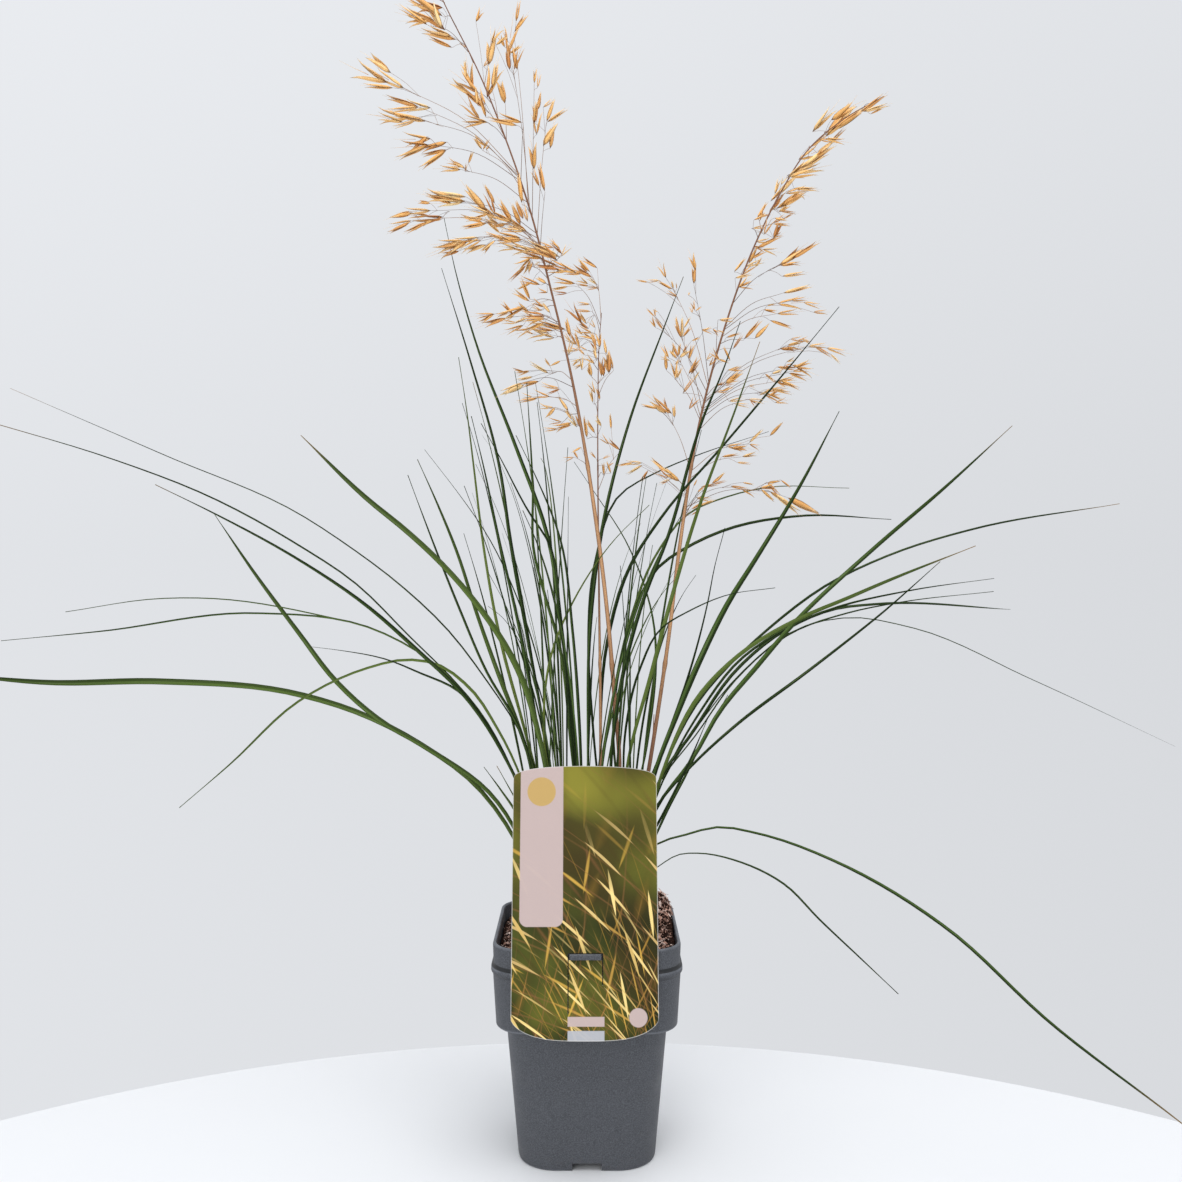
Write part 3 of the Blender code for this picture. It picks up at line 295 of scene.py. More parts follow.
# %% Shader group: one of three tones
def make_three_tones():
    group, given, result = new_group(
        "three_tones",
        [("Tint", NUMBER, 0.5), ("Low", COLOUR, None), ("Middle", COLOUR, None),
         ("High", COLOUR, None)],
        [("Tone", COLOUR)],
    )
    lower = spread(out(given, "Tint"), 0.0, 0.5)
    upper = spread(out(given, "Tint"), 0.5, 1.0)
    first = mix(lower, out(given, "Low"), out(given, "Middle"))
    feed(result, "Tone", mix(upper, first, out(given, "High")))
    return group


def tone_of(tint, low, middle, high):
    tones = {"Tint": tint, "Low": low, "Middle": middle, "High": high}
    return out(add_node(tree_of(tint), "ShaderNodeGroup", tones, node_tree=three_tones), "Tone")


three_tones = make_three_tones()
print(three_tones.name, len(three_tones.nodes), "nodes")

# %% [markdown]
# Moulded plastic, card and soil share a fine irregular speckle. Its mask can darken, whiten
# or roughen, and its mottle is a broad slow change that keeps large faces from looking flat.

# %% Shader group: speckle
def make_speckle():
    group, given, result = new_group(
        "speckle",
        [("Vector", "NodeSocketVector", None), ("Scale", NUMBER, 100.0), ("Cover", NUMBER, 0.3)],
        [("Mask", NUMBER), ("Mottle", NUMBER)],
    )
    fine_scale = times(out(given, "Scale"), 8.0)
    grain = noise_of(out(given, "Vector"), fine_scale, 2.0)
    edge = minus(0.72, times(out(given, "Cover"), 0.44))
    mask = spread(grain, edge, plus(edge, 0.12))
    feed(result, "Mask", mask)
    feed(result, "Mottle", noise_of(out(given, "Vector"), out(given, "Scale"), 3.0))
    return group


def speckle_of(vector, scale, cover):
    fields = {"Vector": vector, "Scale": scale, "Cover": cover}
    made = add_node(tree_of(vector), "ShaderNodeGroup", fields, node_tree=speckle)
    return out(made, "Mask"), out(made, "Mottle")


speckle = make_speckle()
print(speckle.name, len(speckle.nodes), "nodes")

# %% A start for each finish
def new_finish(name, roughness):
    """A material with its node tree and its Principled shader."""
    made = bpy.data.materials.new(name)
    made.use_nodes = True
    shader = made.node_tree.nodes["Principled BSDF"]
    shader.inputs["Roughness"].default_value = roughness
    return made, made.node_tree, shader


def bump(tree, shader, height, strength, depth):
    made = add_node(tree, "ShaderNodeBump", {"Height": height, "Strength": strength, "Distance": depth})
    feed(shader, "Normal", out(made, "Normal"))


def surface_place(tree):
    return out(add_node(tree, "ShaderNodeTexCoord"), "Object")

# %% [markdown]
# ## Finish of the leaves
#
# The blades are a dull blue-green with darker and more olive ones among them. They are
# paler where they leave the sheath, and some have a dry tip. Painted shade darkens one half
# of each channel, the edges and the grooves between the veins, and the blades darken
# towards the tip. The raised parallel veins are too fine for geometry, so they are a bump.

# %% Leaf finish
def leaf_finish():
    made, tree, shader = new_finish("leaf_green", 0.48)
    shader.inputs["Specular IOR Level"].default_value = 0.07
    along, across, tint, dry = (read(tree, name) for name in ("along", "across", "tint", "dry"))
    vein, streak = fibres_of(along, across, tint, 24.0, 7.0)
    green = tone_of(tint, LEAF_DARK, LEAF_GREEN, LEAF_OLIVE)
    streaked = mix(spread(streak, 0.50, 0.72, 0.0, 0.45), green, LEAF_PALE)
    # Painted shade in the grooves between the veins.
    veined = mix(spread(vein, 0.0, 0.5, 0.28, 0.0), streaked, LEAF_SHADE)
    # Painted shade: one half of each blade's channel is darkened as if turned from the light, less on the
    # paler blades.
    deep = spread(tint, 0.45, 0.75, 1.0, 0.30)
    fold = times(spread(across, -0.25, 0.15, 0.82, 0.0), deep)
    folded = mix(fold, veined, LEAF_SHADE)
    # Painted shade along both edges of the blade, less on the paler blades.
    rim = times(spread(unsigned(across), 0.70, 0.95, 0.0, 0.55), deep)
    shaded = mix(rim, folded, LEAF_SHADE)
    edged = mix(spread(along, 0.60, 1.0, 0.0, 0.60), shaded, LEAF_SHADE)
    based = mix(spread(along, 0.0, 0.16, 0.55, 0.0), edged, LEAF_BASE)
    start = minus(1.02, times(dry, 0.45))
    parched = times(spread(minus(along, start), 0.0, 0.10), 0.9)
    feed(shader, "Base Color", mix(parched, based, LEAF_DRY))
    gloss = spread(streak, 0.3, 0.7, 0.42, 0.60)
    feed(shader, "Roughness", gloss)
    bump(tree, shader, vein, 0.35, 0.0002)
    return made


LEAF_DARK = paint(0.017, 0.035, 0.008)
LEAF_GREEN = paint(0.068, 0.122, 0.026)
LEAF_OLIVE = paint(0.158, 0.208, 0.042)
LEAF_PALE = paint(0.215, 0.295, 0.115)
LEAF_SHADE = paint(0.005, 0.011, 0.003)
LEAF_BASE = paint(0.150, 0.190, 0.070)
LEAF_DRY = paint(0.330, 0.200, 0.095)
leaf_green = leaf_finish()
print(leaf_green.name, len(leaf_green.node_tree.nodes), "nodes")

# %% [markdown]
# ## Finishes of the ripe flower stems
#
# The husks are dry and papery: golden orange, browner in streaks, dark where they join
# their stalk and pale at the drawn-out tip. The stalks are straw that shades to red-brown,
# with painted shade that darkens their sides.

# %% Husk and stalk finishes
def husk_finish():
    made, tree, shader = new_finish("ripe_husk", 0.55)
    along, across, tint = (read(tree, name) for name in ("along", "across", "tint"))
    vein, streak = fibres_of(along, across, tint, 13.0, 2.5)
    gold = tone_of(tint, HUSK_BROWN, HUSK_GOLD, HUSK_PALE)
    streaked = mix(spread(streak, 0.50, 0.68, 0.0, 0.55), gold, HUSK_BROWN)
    veined = mix(spread(vein, 0.0, 0.35, 0.42, 0.0), streaked, HUSK_VEIN)
    tipped = mix(spread(along, 0.60, 0.95, 0.0, 0.50), veined, HUSK_TIP)
    footed = mix(spread(along, 0.02, 0.14, 0.85, 0.0), tipped, HUSK_FOOT)
    feed(shader, "Base Color", footed)
    feed(shader, "Roughness", spread(streak, 0.3, 0.7, 0.45, 0.68))
    bump(tree, shader, vein, 0.4, 0.0002)
    return made


def stalk_finish():
    made, tree, shader = new_finish("ripe_straw", 0.5)
    along, across, tint = (read(tree, name) for name in ("along", "across", "tint"))
    vein, streak = fibres_of(along, across, tint, 15.0, 26.0)
    straw = tone_of(tint, STALK_RED, STALK_STRAW, STALK_GREY)
    streaked = mix(spread(streak, 0.48, 0.70, 0.0, 0.5), straw, STALK_RED)
    # Painted shade: the straw darkens to red-brown towards its sides, as a round stalk shades.
    rim = spread(unsigned(across), 0.45, 0.95, 0.0, 0.80)
    feed(shader, "Base Color", mix(rim, streaked, STALK_RED))
    bump(tree, shader, vein, 0.3, 0.0002)
    return made


HUSK_BROWN = paint(0.55, 0.215, 0.048)
HUSK_GOLD = paint(0.96, 0.530, 0.160)
HUSK_PALE = paint(1.00, 0.750, 0.370)
HUSK_VEIN = paint(0.36, 0.135, 0.038)
HUSK_TIP = paint(1.00, 0.800, 0.500)
HUSK_FOOT = paint(0.160, 0.065, 0.040)
STALK_RED = paint(0.150, 0.050, 0.020)
STALK_STRAW = paint(0.570, 0.310, 0.140)
STALK_GREY = paint(0.095, 0.066, 0.052)
ripe_husk = husk_finish()
ripe_straw = stalk_finish()
for finish in (ripe_husk, ripe_straw):
    print(finish.name, len(finish.node_tree.nodes), "nodes")

# %% [markdown]
# ## Finishes of the pot and the soil
#
# The pot is matt dark blue-grey plastic. Handling has left it slightly mottled, and a
# dusting of soil lies near the foot. Its rims and edges are paler, partly scuffed where pots
# rub in a stack and partly a painted highlight; painted shade darkens the creases at the bead.
# The soil is near black, with bark that runs from dark brown to a pinkish tan.

# %% Pot, soil and bark finishes
def pot_finish():
    made, tree, shader = new_finish("pot_plastic", 0.55)
    place = surface_place(tree)
    mask, mottle = speckle_of(place, 55.0, 0.35)
    height = out(add_node(tree, "ShaderNodeSeparateXYZ", {0: place}), "Z")
    mottled = mix(spread(mottle, 0.3, 0.7), POT_DARK, POT_GREY)
    grain = noise_of(place, 1250.0, 1.0)
    grained = mix(spread(grain, 0.36, 0.66, 0.0, 0.75), mottled, POT_LIGHT)
    # Paler bands at the rim, the bead, the collar's foot and the base: partly scuffs and partly a painted
    # highlight on the edges.
    edges = ((POT_HEIGHT, 0.0018), (BEAD_Z + 0.0035, 0.0018), (COLLAR_Z, 0.0014), (0.0, 0.0020))
    near_edge = largest(*(band(height, edge, reach) for edge, reach in edges))
    worn = times(near_edge, spread(mottle, 0.35, 0.6, 0.10, 0.45))
    rubbed_and_lit = mix(worn, grained, POT_WORN_AND_LIT)
    # Painted shade: dark lines in the creases just below the bead and where the bead meets the rim band above
    # it.
    shade_under_bead = times(band(height, BEAD_Z - 0.0006, 0.0020), 0.45)
    above = band(height, BEAD_Z + BEAD_HEIGHT + 0.0005, 0.0019)
    shade_over_bead = spread(above, 0.15, 0.40, 0.0, 0.99)
    crease_shaded = mix(largest(shade_under_bead, shade_over_bead), rubbed_and_lit, POT_CREASE_SHADE)
    dusty = times(spread(height, 0.0, 0.04, 0.10, 0.0), mask)
    feed(shader, "Base Color", mix(dusty, crease_shaded, SOIL_DUST))
    feed(shader, "Roughness", spread(mottle, 0.3, 0.7, 0.46, 0.62))
    bump(tree, shader, grain, 0.15, 0.0002)
    return made


def band(value, centre, reach):
    """1 where the value is at the centre, falling to 0 at this reach from it."""
    away = unsigned(minus(value, centre))
    return spread(away, 0.0, reach, 1.0, 0.0)


def soil_finish():
    made, tree, shader = new_finish("potting_soil", 0.95)
    shader.inputs["Specular IOR Level"].default_value = 0.04
    mask, mottle = speckle_of(surface_place(tree), 160.0, 0.5)
    dark = mix(spread(mottle, 0.35, 0.65), SOIL_BLACK, SOIL_BROWN)
    feed(shader, "Base Color", mix(times(mask, 0.25), dark, SOIL_DUST))
    bump(tree, shader, mottle, 0.8, 0.0012)
    return made


def bark_finish():
    made, tree, shader = new_finish("soil_bark", 0.9)
    shader.inputs["Specular IOR Level"].default_value = 0.05
    mask, mottle = speckle_of(surface_place(tree), 260.0, 0.4)
    bark = tone_of(read(tree, "tint"), BARK_DARK, BARK_BROWN, BARK_TAN)
    grained = mix(spread(mottle, 0.40, 0.62, 0.5, 0.0), bark, SOIL_BLACK)
    feed(shader, "Base Color", grained)
    bump(tree, shader, mask, 0.5, 0.0004)
    return made


POT_HEIGHT = 0.1805
BEAD_Z = 0.1580
BEAD_HEIGHT = 0.005
COLLAR_Z = 0.115
POT_DARK = paint(0.0332, 0.0362, 0.0434)
POT_GREY = paint(0.0434, 0.0470, 0.0552)
POT_LIGHT = paint(0.090, 0.096, 0.110)
POT_CREASE_SHADE = paint(0.004, 0.005, 0.006)
POT_WORN_AND_LIT = paint(0.240, 0.260, 0.295)
SOIL_DUST = paint(0.120, 0.080, 0.060)
SOIL_BLACK = paint(0.003, 0.001, 0.001)
SOIL_BROWN = paint(0.026, 0.010, 0.007)
BARK_DARK = paint(0.150, 0.075, 0.056)
BARK_BROWN = paint(0.720, 0.430, 0.330)
BARK_TAN = paint(1.000, 0.800, 0.710)
pot_plastic = pot_finish()
potting_soil = soil_finish()
soil_bark = bark_finish()
for finish in (pot_plastic, potting_soil, soil_bark):
    print(finish.name, len(finish.node_tree.nodes), "nodes")

# %% [markdown]
# ## Meshes and modifiers
#
# Every finished piece is a plain mesh at the origin. These helpers make a mesh from points
# and faces, turn a node tree's result into one, and join several into one piece.

# %% Mesh helpers
def new_object(name, points, faces, finish, edges=()):
    mesh = bpy.data.meshes.new(name)
    mesh.from_pydata([tuple(point) for point in points], list(edges), faces)
    if finish:
        mesh.materials.append(finish)
    made = bpy.data.objects.new(name, mesh)
    bpy.context.scene.collection.objects.link(made)
    return made


def plain_mesh(obj):
    """Make the object's evaluated shape its own mesh, and remove its modifiers."""
    graph = bpy.context.evaluated_depsgraph_get()
    mesh = bpy.data.meshes.new_from_object(obj.evaluated_get(graph))
    obj.modifiers.clear()
    obj.data = mesh
    return obj


def run_tree(obj, tree, **inputs):
    """Run a Geometry Nodes tree on the object, with its named inputs, and keep a plain mesh."""
    modifier = obj.modifiers.new(tree.name, "NODES")
    modifier.node_group = tree
    for item in tree.interface.items_tree:
        if item.in_out == "INPUT" and item.name in inputs:
            modifier[item.identifier] = inputs[item.name]
    return plain_mesh(obj)


def join(name, parts):
    """Several objects as one, under a new name."""
    with bpy.context.temp_override(active_object=parts[0], selected_editable_objects=parts):
        bpy.ops.object.join()
    parts[0].name = name
    parts[0].data.name = name
    return parts[0]


def hand_over(piece, slot, *nodes):
    """A finished piece: it rides on the body, and stands for the solids that it replaces."""
    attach(piece, "root")
    if nodes:
        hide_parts(*nodes)
    print(piece.name, len(piece.data.polygons), "faces")


def new_collection(name):
    made = bpy.data.collections.new(name)
    bpy.context.scene.collection.children.link(made)
    return made


def gather(name, parts):
    """Move the shapes to a collection of their own, which a tree can pick from."""
    shapes = new_collection(name)
    for part in parts:
        for owner in list(part.users_collection):
            owner.objects.unlink(part)
        shapes.objects.link(part)
    return shapes


def clear_shapes(shapes):
    for part in list(shapes.objects):
        bpy.data.objects.remove(part, do_unlink=True)
    bpy.data.collections.remove(shapes)


def apply_boolean(obj, others, operation):
    """One Boolean with several objects, applied; the others are then removed."""
    helpers = gather(obj.name + "_helpers", others)
    modifier = obj.modifiers.new("join", "BOOLEAN")
    modifier.operation = operation
    modifier.operand_type = "COLLECTION"
    modifier.collection = helpers
    modifier.solver = "EXACT"
    plain_mesh(obj)
    clear_shapes(helpers)


def face_outwards(obj):
    """Turn every face of the mesh outwards."""
    fix = bmesh.new()
    fix.from_mesh(obj.data)
    bmesh.ops.recalc_face_normals(fix, faces=fix.faces)
    fix.to_mesh(obj.data)
    fix.free()


def store(obj, name, values, kind="FLOAT"):
    """Give each point of the mesh a value of its own under this name."""
    field = "vector" if kind == "FLOAT_VECTOR" else "value"
    obj.data.attributes.new(name, kind, "POINT").data.foreach_set(field, values)

# %% [markdown]
# ## Pot
#
# A thin-walled square pot, moulded in one piece: a tapered body, a wider collar that
# starts at a step, a bead under the rim, and a lug at the front that the card hangs on.
# It could be a box with bevels, but a square with round corners lofted through a list of
# levels gives the taper, the step and the wall in one closed surface. Each corner of the
# profile is rounded, as a mould leaves it. The foot's notches and holes are cut last.

# %% Pot profile
POT_WALL = 0.0018
FOOT_HALF = 0.0556
BODY_TOP_HALF = 0.0642
COLLAR_LOW_HALF = 0.072
COLLAR_TOP_HALF = 0.0744
BEAD_HALF = 0.0759
RIM_HALF = 0.0745
CORNER_RADIUS = 0.025
FOOT_CORNER = 0.031
CORNER_STEPS = 14
FLOOR_Z = 0.007
FLOOR_THICK = 0.002
EDGE_ROUND = 0.0009


def rounded_square(half, radius, z):
    """Points of a square section with round corners, counter-clockwise from above."""
    points = []
    for corner in range(4):
        middle = math.radians(90 * corner + 45)
        reach = (half - radius) * math.sqrt(2)
        for step in range(CORNER_STEPS + 1):
            turn = math.radians(90 * corner + 90 * step / CORNER_STEPS)
            points.append((
                reach * math.cos(middle) + radius * math.cos(turn),
                reach * math.sin(middle) + radius * math.sin(turn),
                z,
            ))
    return points


def loft(rings):
    """Points and faces of a closed solid through rings of equal count, capped at both ends."""
    count = len(rings[0])
    points = [point for ring in rings for point in ring]
    faces = [tuple(reversed(range(count)))]
    for level in range(len(rings) - 1):
        low = level * count
        for i in range(count):
            j = (i + 1) % count
            faces.append((low + i, low + j, low + count + j, low + count + i))
    last = (len(rings) - 1) * count
    faces.append(tuple(range(last, last + count)))
    return points, faces


def pot_profile():
    """(half width, corner radius, z) from under the floor, up the outside, down the inside."""
    inner = POT_WALL
    r = CORNER_RADIUS
    foot = FOOT_CORNER
    top = POT_HEIGHT
    shelf = COLLAR_Z
    return (
        (FOOT_HALF - 0.0035, foot - 0.0035, FLOOR_Z),
        (FOOT_HALF - 0.0034, foot - 0.0034, 0.0),
        (FOOT_HALF - 0.0016, foot - 0.0016, 0.0),
        (FOOT_HALF - 0.0004, foot - 0.0004, 0.0016),
        (FOOT_HALF, foot, 0.0042),
        (BODY_TOP_HALF, r, shelf - 0.002),
        (COLLAR_LOW_HALF - 0.0014, r, shelf - 0.0015),
        (COLLAR_LOW_HALF, r, shelf),
        (COLLAR_TOP_HALF, r, BEAD_Z - 0.0010),
        (BEAD_HALF, r + 0.0022, BEAD_Z),
        (BEAD_HALF, r + 0.0022, BEAD_Z + BEAD_HEIGHT - 0.001),
        (RIM_HALF - 0.0006, r, BEAD_Z + BEAD_HEIGHT),
        (RIM_HALF, r, top - 0.0012),
        (RIM_HALF - 0.0009, r, top),
        (RIM_HALF - 0.0024, r - 0.002, top),
        (RIM_HALF - 0.0030, r - 0.002, top - 0.0012),
        (COLLAR_LOW_HALF - inner, r - 0.002, shelf + 0.002),
        (BODY_TOP_HALF - inner, r - 0.002, shelf),
        (FOOT_HALF - inner, foot - 0.002, FLOOR_Z + FLOOR_THICK),
    )


def soften(profile, reach):
    """The profile with each inner corner replaced by a short curve."""
    levels = [np.array(level) for level in profile]
    softened = [levels[0]]
    for before, at, after in zip(levels, levels[1:], levels[2:]):
        back, ahead = before - at, after - at
        start = at + back * min(reach / np.linalg.norm(back), 0.45)
        end = at + ahead * min(reach / np.linalg.norm(ahead), 0.45)
        for share in (0.0, 0.33, 0.67, 1.0):
            softened.append(start * (1 - share) ** 2 + at * 2 * share * (1 - share) + end * share ** 2)
    return softened + [levels[-1]]

# %% Pot piece
NOTCH_WIDTH = 0.023
NOTCH_HEIGHT = 0.0065
BOSS_RADIUS = 0.018
DRAIN_RADIUS = 0.0055
DRAIN_RING = 0.036
LUG_WIDTH = 0.0246
LUG_HEIGHT = 0.0026
LIP_HEIGHT = 0.0046
LUG_Z = 0.1768
LUG_REACH = 0.0835
ROUND_SIDES = 40


def frustum(low_radius, high_radius, low_z, high_z, sides, place=(0.0, 0.0)):
    """A cone frustum as a helper object, standing on low_z."""
    bpy.ops.mesh.primitive_cone_add(
        vertices=sides, radius1=low_radius, radius2=high_radius, depth=high_z - low_z,
        location=(place[0], place[1], (low_z + high_z) / 2),
    )
    return bpy.context.object


def block(size, centre):
    bpy.ops.mesh.primitive_cube_add(size=1.0, location=centre)
    made = bpy.context.object
    made.scale = size
    return made


def rounded_block(size, centre, edge):
    """A block whose edges are rounded."""
    made = block(size, centre)
    bpy.ops.object.transform_apply(location=False, rotation=False, scale=True)
    rounding = made.modifiers.new("rounding", "BEVEL")
    rounding.width = edge
    rounding.segments = 3
    return made


def make_pot():
    rings = [rounded_square(*level) for level in soften(pot_profile(), EDGE_ROUND)]
    points, faces = loft(rings)
    pot = new_object("nursery_pot", points, faces, pot_plastic)
    boss = frustum(BOSS_RADIUS, BOSS_RADIUS + 0.003, 0.0, FLOOR_Z + 0.001, ROUND_SIDES)
    lug_depth = LUG_REACH - RIM_HALF + 0.002
    lug_place = (-0.001, -LUG_REACH + lug_depth / 2, LUG_Z)
    lug = rounded_block((LUG_WIDTH, lug_depth, LUG_HEIGHT), lug_place, 0.0006)
    lip = rounded_block((LUG_WIDTH, 0.0016, LIP_HEIGHT), (-0.001, -LUG_REACH + 0.0008, LUG_Z + 0.001), 0.0004)
    apply_boolean(pot, [boss, lug, lip], "UNION")
    cutters = [frustum(BOSS_RADIUS - 0.003, BOSS_RADIUS, 0.002, FLOOR_Z + 0.004, ROUND_SIDES)]
    for quarter in range(4):
        turn = math.radians(90 * quarter)
        along = (math.cos(turn), math.sin(turn))
        size = (0.016, NOTCH_WIDTH, 2 * NOTCH_HEIGHT)
        notch = rounded_block(size, (along[0] * 0.055, along[1] * 0.055, 0), 0.0008)
        notch.rotation_euler.z = turn
        cutters.append(notch)
        for ring, swing in ((DRAIN_RING, 0.0), (DRAIN_RING * 1.25, math.radians(45))):
            place = (ring * math.cos(turn + swing), ring * math.sin(turn + swing))
            cutters.append(frustum(DRAIN_RADIUS, DRAIN_RADIUS, 0.005, 0.011, ROUND_SIDES, place))
    apply_boolean(pot, cutters, "DIFFERENCE")
    pot.data.materials.clear()
    pot.data.materials.append(pot_plastic)
    pot.data.shade_smooth()
    pot.data.set_sharp_from_angle(angle=math.radians(38))
    return pot


nursery_pot = make_pot()
hand_over(nursery_pot, "pot_plastic", "pot")

# %% [markdown]
# ## Soil
#
# The bed is a closed solid that fills the pot, dished, with a heap at the back right that
# banks down to the rim. Its relief is a formula plus noise in the mesh itself. Loose bark,
# crumbs and fibres on top are separate bodies in reality, hundreds of them, so they are
# scattered by a Geometry Nodes tree over the bed's open faces only, and turned at random.

# %% Soil bed
GAP = 0.0004
SOIL_EDGE_Z = 0.1685
HEAP_HEIGHT = 0.0070
HEAP_TOP_Z = 0.1990
BANK_FOOT_Z = 0.1872
BANK_SLOPE = 2.2
SPILL_Z = 0.1828
SWELL_TALL = 0.0265
SWELL_X = 0.052
SWELL_Y = 0.030
SWELL_WIDE = 0.021
MOUND_TALL = 0.010
MOUND_WIDE = 0.034
SOIL_RINGS = 42
SOIL_INSET = 0.0042
HEAP_SIDE = (0.047, 0.016)
HEAP_FRONT = (-0.060, 0.030)
HEAP_BACK = (0.050, 0.030)
SOIL_POINTS = 168


def soil_height(x, y):
    """Relief of the soil: a low dish, heaped at the back right, with coarse lumps."""
    heap = SWELL_TALL * math.exp(-((x - SWELL_X) ** 2 + (y - SWELL_Y) ** 2) / (2 * SWELL_WIDE ** 2))
    mound = MOUND_TALL * math.exp(-(x * x + y * y) / (2 * MOUND_WIDE ** 2))
    lumps = 0.0014 * math.sin(310 * x + 1.3) * math.cos(270 * y - 0.4)
    crumbs = 0.0009 * math.sin(610 * x - 400 * y)
    return SOIL_EDGE_Z + heap + mound + lumps + crumbs


def run_of(points):
    """How far along the line through the points each of them lies."""
    return np.concatenate([[0.0], np.cumsum(np.linalg.norm(np.diff(points, axis=0), axis=1))])


def evenly(points, count, last=True):
    """This many points at equal spacing along the line, with or without its last point."""
    run = run_of(points)
    wanted = np.linspace(0.0, run[-1], count, endpoint=last)
    return np.stack([np.interp(wanted, run, points[:, k]) for k in range(3)], axis=1)


def even_ring(half, radius, z):
    """A rounded square resampled to points at equal spacing."""
    corners = np.array(rounded_square(half, radius, z))
    return evenly(np.vstack([corners, corners[:1]]), SOIL_POINTS, False)


def held(share):
    return min(max(share, 0.0), 1.0)


def rough_height(x, y):
    """The soil's relief with clods down to a millimetre."""
    at = Vector((x, y, 0.0))
    clods = noise.noise(at * 180.0) * 0.0011 + noise.noise(at * 420.0) * 0.0007
    side = held((x - HEAP_SIDE[0]) / HEAP_SIDE[1])
    front = held((y - HEAP_FRONT[0]) / HEAP_FRONT[1])
    back = held((HEAP_BACK[0] - y) / HEAP_BACK[1])
    heap = HEAP_HEIGHT * side * front * back
    bank = BANK_FOOT_Z + BANK_SLOPE * (RIM_HALF - SOIL_INSET - max(abs(x), abs(y)))
    return min(soil_height(x, y) + heap, bank, HEAP_TOP_Z) + clods


def make_soil():
    r = CORNER_RADIUS - 0.002
    rings = [
        even_ring(FOOT_HALF - POT_WALL - GAP, FOOT_CORNER - 0.002, FLOOR_Z + FLOOR_THICK + GAP),
        even_ring(BODY_TOP_HALF - POT_WALL - GAP, r, COLLAR_Z + GAP),
        even_ring(COLLAR_LOW_HALF - POT_WALL - GAP, r, COLLAR_Z + 0.002 + GAP),
    ]
    edge = even_ring(RIM_HALF - SOIL_INSET, r, 0.0)
    for ring in range(SOIL_RINGS):
        share = 1.0 - ring / SOIL_RINGS
        rings.append([(x * share, y * share, rough_height(x * share, y * share)) for x, y, _ in edge])
    points, faces = loft(rings)
    bed = new_object("soil_bed", points, faces, potting_soil)
    bed.data.shade_smooth()
    return bed


soil_bed = make_soil()
hand_over(soil_bed, "potting_soil", "soil")

# %% Shapes of the loose bits
def chip_shape(name, size, draw):
    """A split sliver of bark: a block with its corners moved and one end thinner."""
    made = block(size, (0.0, 0.0, 0.0))
    bpy.ops.object.transform_apply(location=False, rotation=False, scale=True)
    for vertex in made.data.vertices:
        end = 0.45 if vertex.co.x > 0 else 1.0
        push = Vector([draw.uniform(-0.22, 0.22) * length for length in size])
        vertex.co = Vector((vertex.co.x, vertex.co.y * end, vertex.co.z * end)) + push
    made.name = name
    return made


def crumb_shape(name, radius, draw):
    bpy.ops.mesh.primitive_ico_sphere_add(subdivisions=1, radius=radius)
    made = bpy.context.object
    for vertex in made.data.vertices:
        vertex.co *= draw.uniform(0.6, 1.15)
    made.name = name
    return made


def fibre_shape(name, length, radius, bend):
    """A root fibre: a bent thread of three sides."""
    rings = []
    for step in range(6):
        share = step / 5
        rings.append([
            (length * (share - 0.5) + radius * 0.1 * side, bend * math.sin(math.pi * share) +
             radius * math.cos(2.1 * side), radius * math.sin(2.1 * side) + bend * share * 0.4)
            for side in range(3)
        ])
    points, faces = loft(rings)
    made = new_object(name, points, faces, None)
    face_outwards(made)
    return made

# %% Tree that scatters bits over the bed
WALL_BAND = (0.058, 0.068)
WALL_SIZE = 0.40
SPILT_SIZE = 0.72


def make_scatter_tree():
    group, given, result = new_group(
        "scatter_bits",
        [("Bed", GEOMETRY, None), ("Shapes", "NodeSocketCollection", None),
         ("Density", NUMBER, 1000.0), ("Seed", "NodeSocketInt", 0),
         ("Lowest", NUMBER, 0.0), ("Reach", NUMBER, 0.06),
         ("Finish", "NodeSocketMaterial", None)],
        [("Bits", GEOMETRY)],
        "GeometryNodeTree",
    )
    points = add_node(group, "GeometryNodeDistributePointsOnFaces", {
        "Mesh": out(given, "Bed"), "Density": out(given, "Density"), "Seed": out(given, "Seed")})
    place = out(add_node(group, "GeometryNodeInputPosition"))
    parts = add_node(group, "ShaderNodeSeparateXYZ", {0: place})
    side = largest(*(unsigned(out(parts, axis)) for axis in "XY"))
    spilt = calc("GREATER_THAN", out(parts, "Z"), SPILL_Z)
    inside = largest(calc("LESS_THAN", side, out(given, "Reach")), spilt)
    above = calc("GREATER_THAN", out(parts, "Z"), out(given, "Lowest"))
    upward = out(add_node(group, "ShaderNodeSeparateXYZ", {0: out(points, "Normal")}), "Z")
    open_face = largest(calc("GREATER_THAN", upward, 0.3), spilt)
    on_top = times(open_face, times(inside, above))
    toned = add_node(group, "GeometryNodeStoreNamedAttribute", {
        "Geometry": out(points, "Points"), "Name": "tint", "Value": random_of(group, 0.0, 1.0, 3)},
        data_type="FLOAT")
    swing = random_of(group, (-0.5, -0.5, 0.0), (0.5, 0.5, 6.28), 5, "FLOAT_VECTOR")
    turned = add_node(group, "FunctionNodeRotateRotation", {
        "Rotation": out(points, "Rotation"), "Rotate By": rotation_of(swing)}, rotation_space="LOCAL")
    near_wall = spread(side, *WALL_BAND, 1.0, WALL_SIZE)
    near_wall = largest(near_wall, times(spilt, SPILT_SIZE))
    copies = copies_of(
        group, given, Points=out(toned), Selection=on_top, Rotation=out(turned),
        Instance_Index=random_of(group, 0, 5, 4, "INT"),
        Scale=times(random_of(group, 0.45, 1.35, 6), near_wall))
    return end_tree(group, given, result, copies)


scatter_bits = make_scatter_tree()
print(scatter_bits.name, len(scatter_bits.nodes), "nodes")

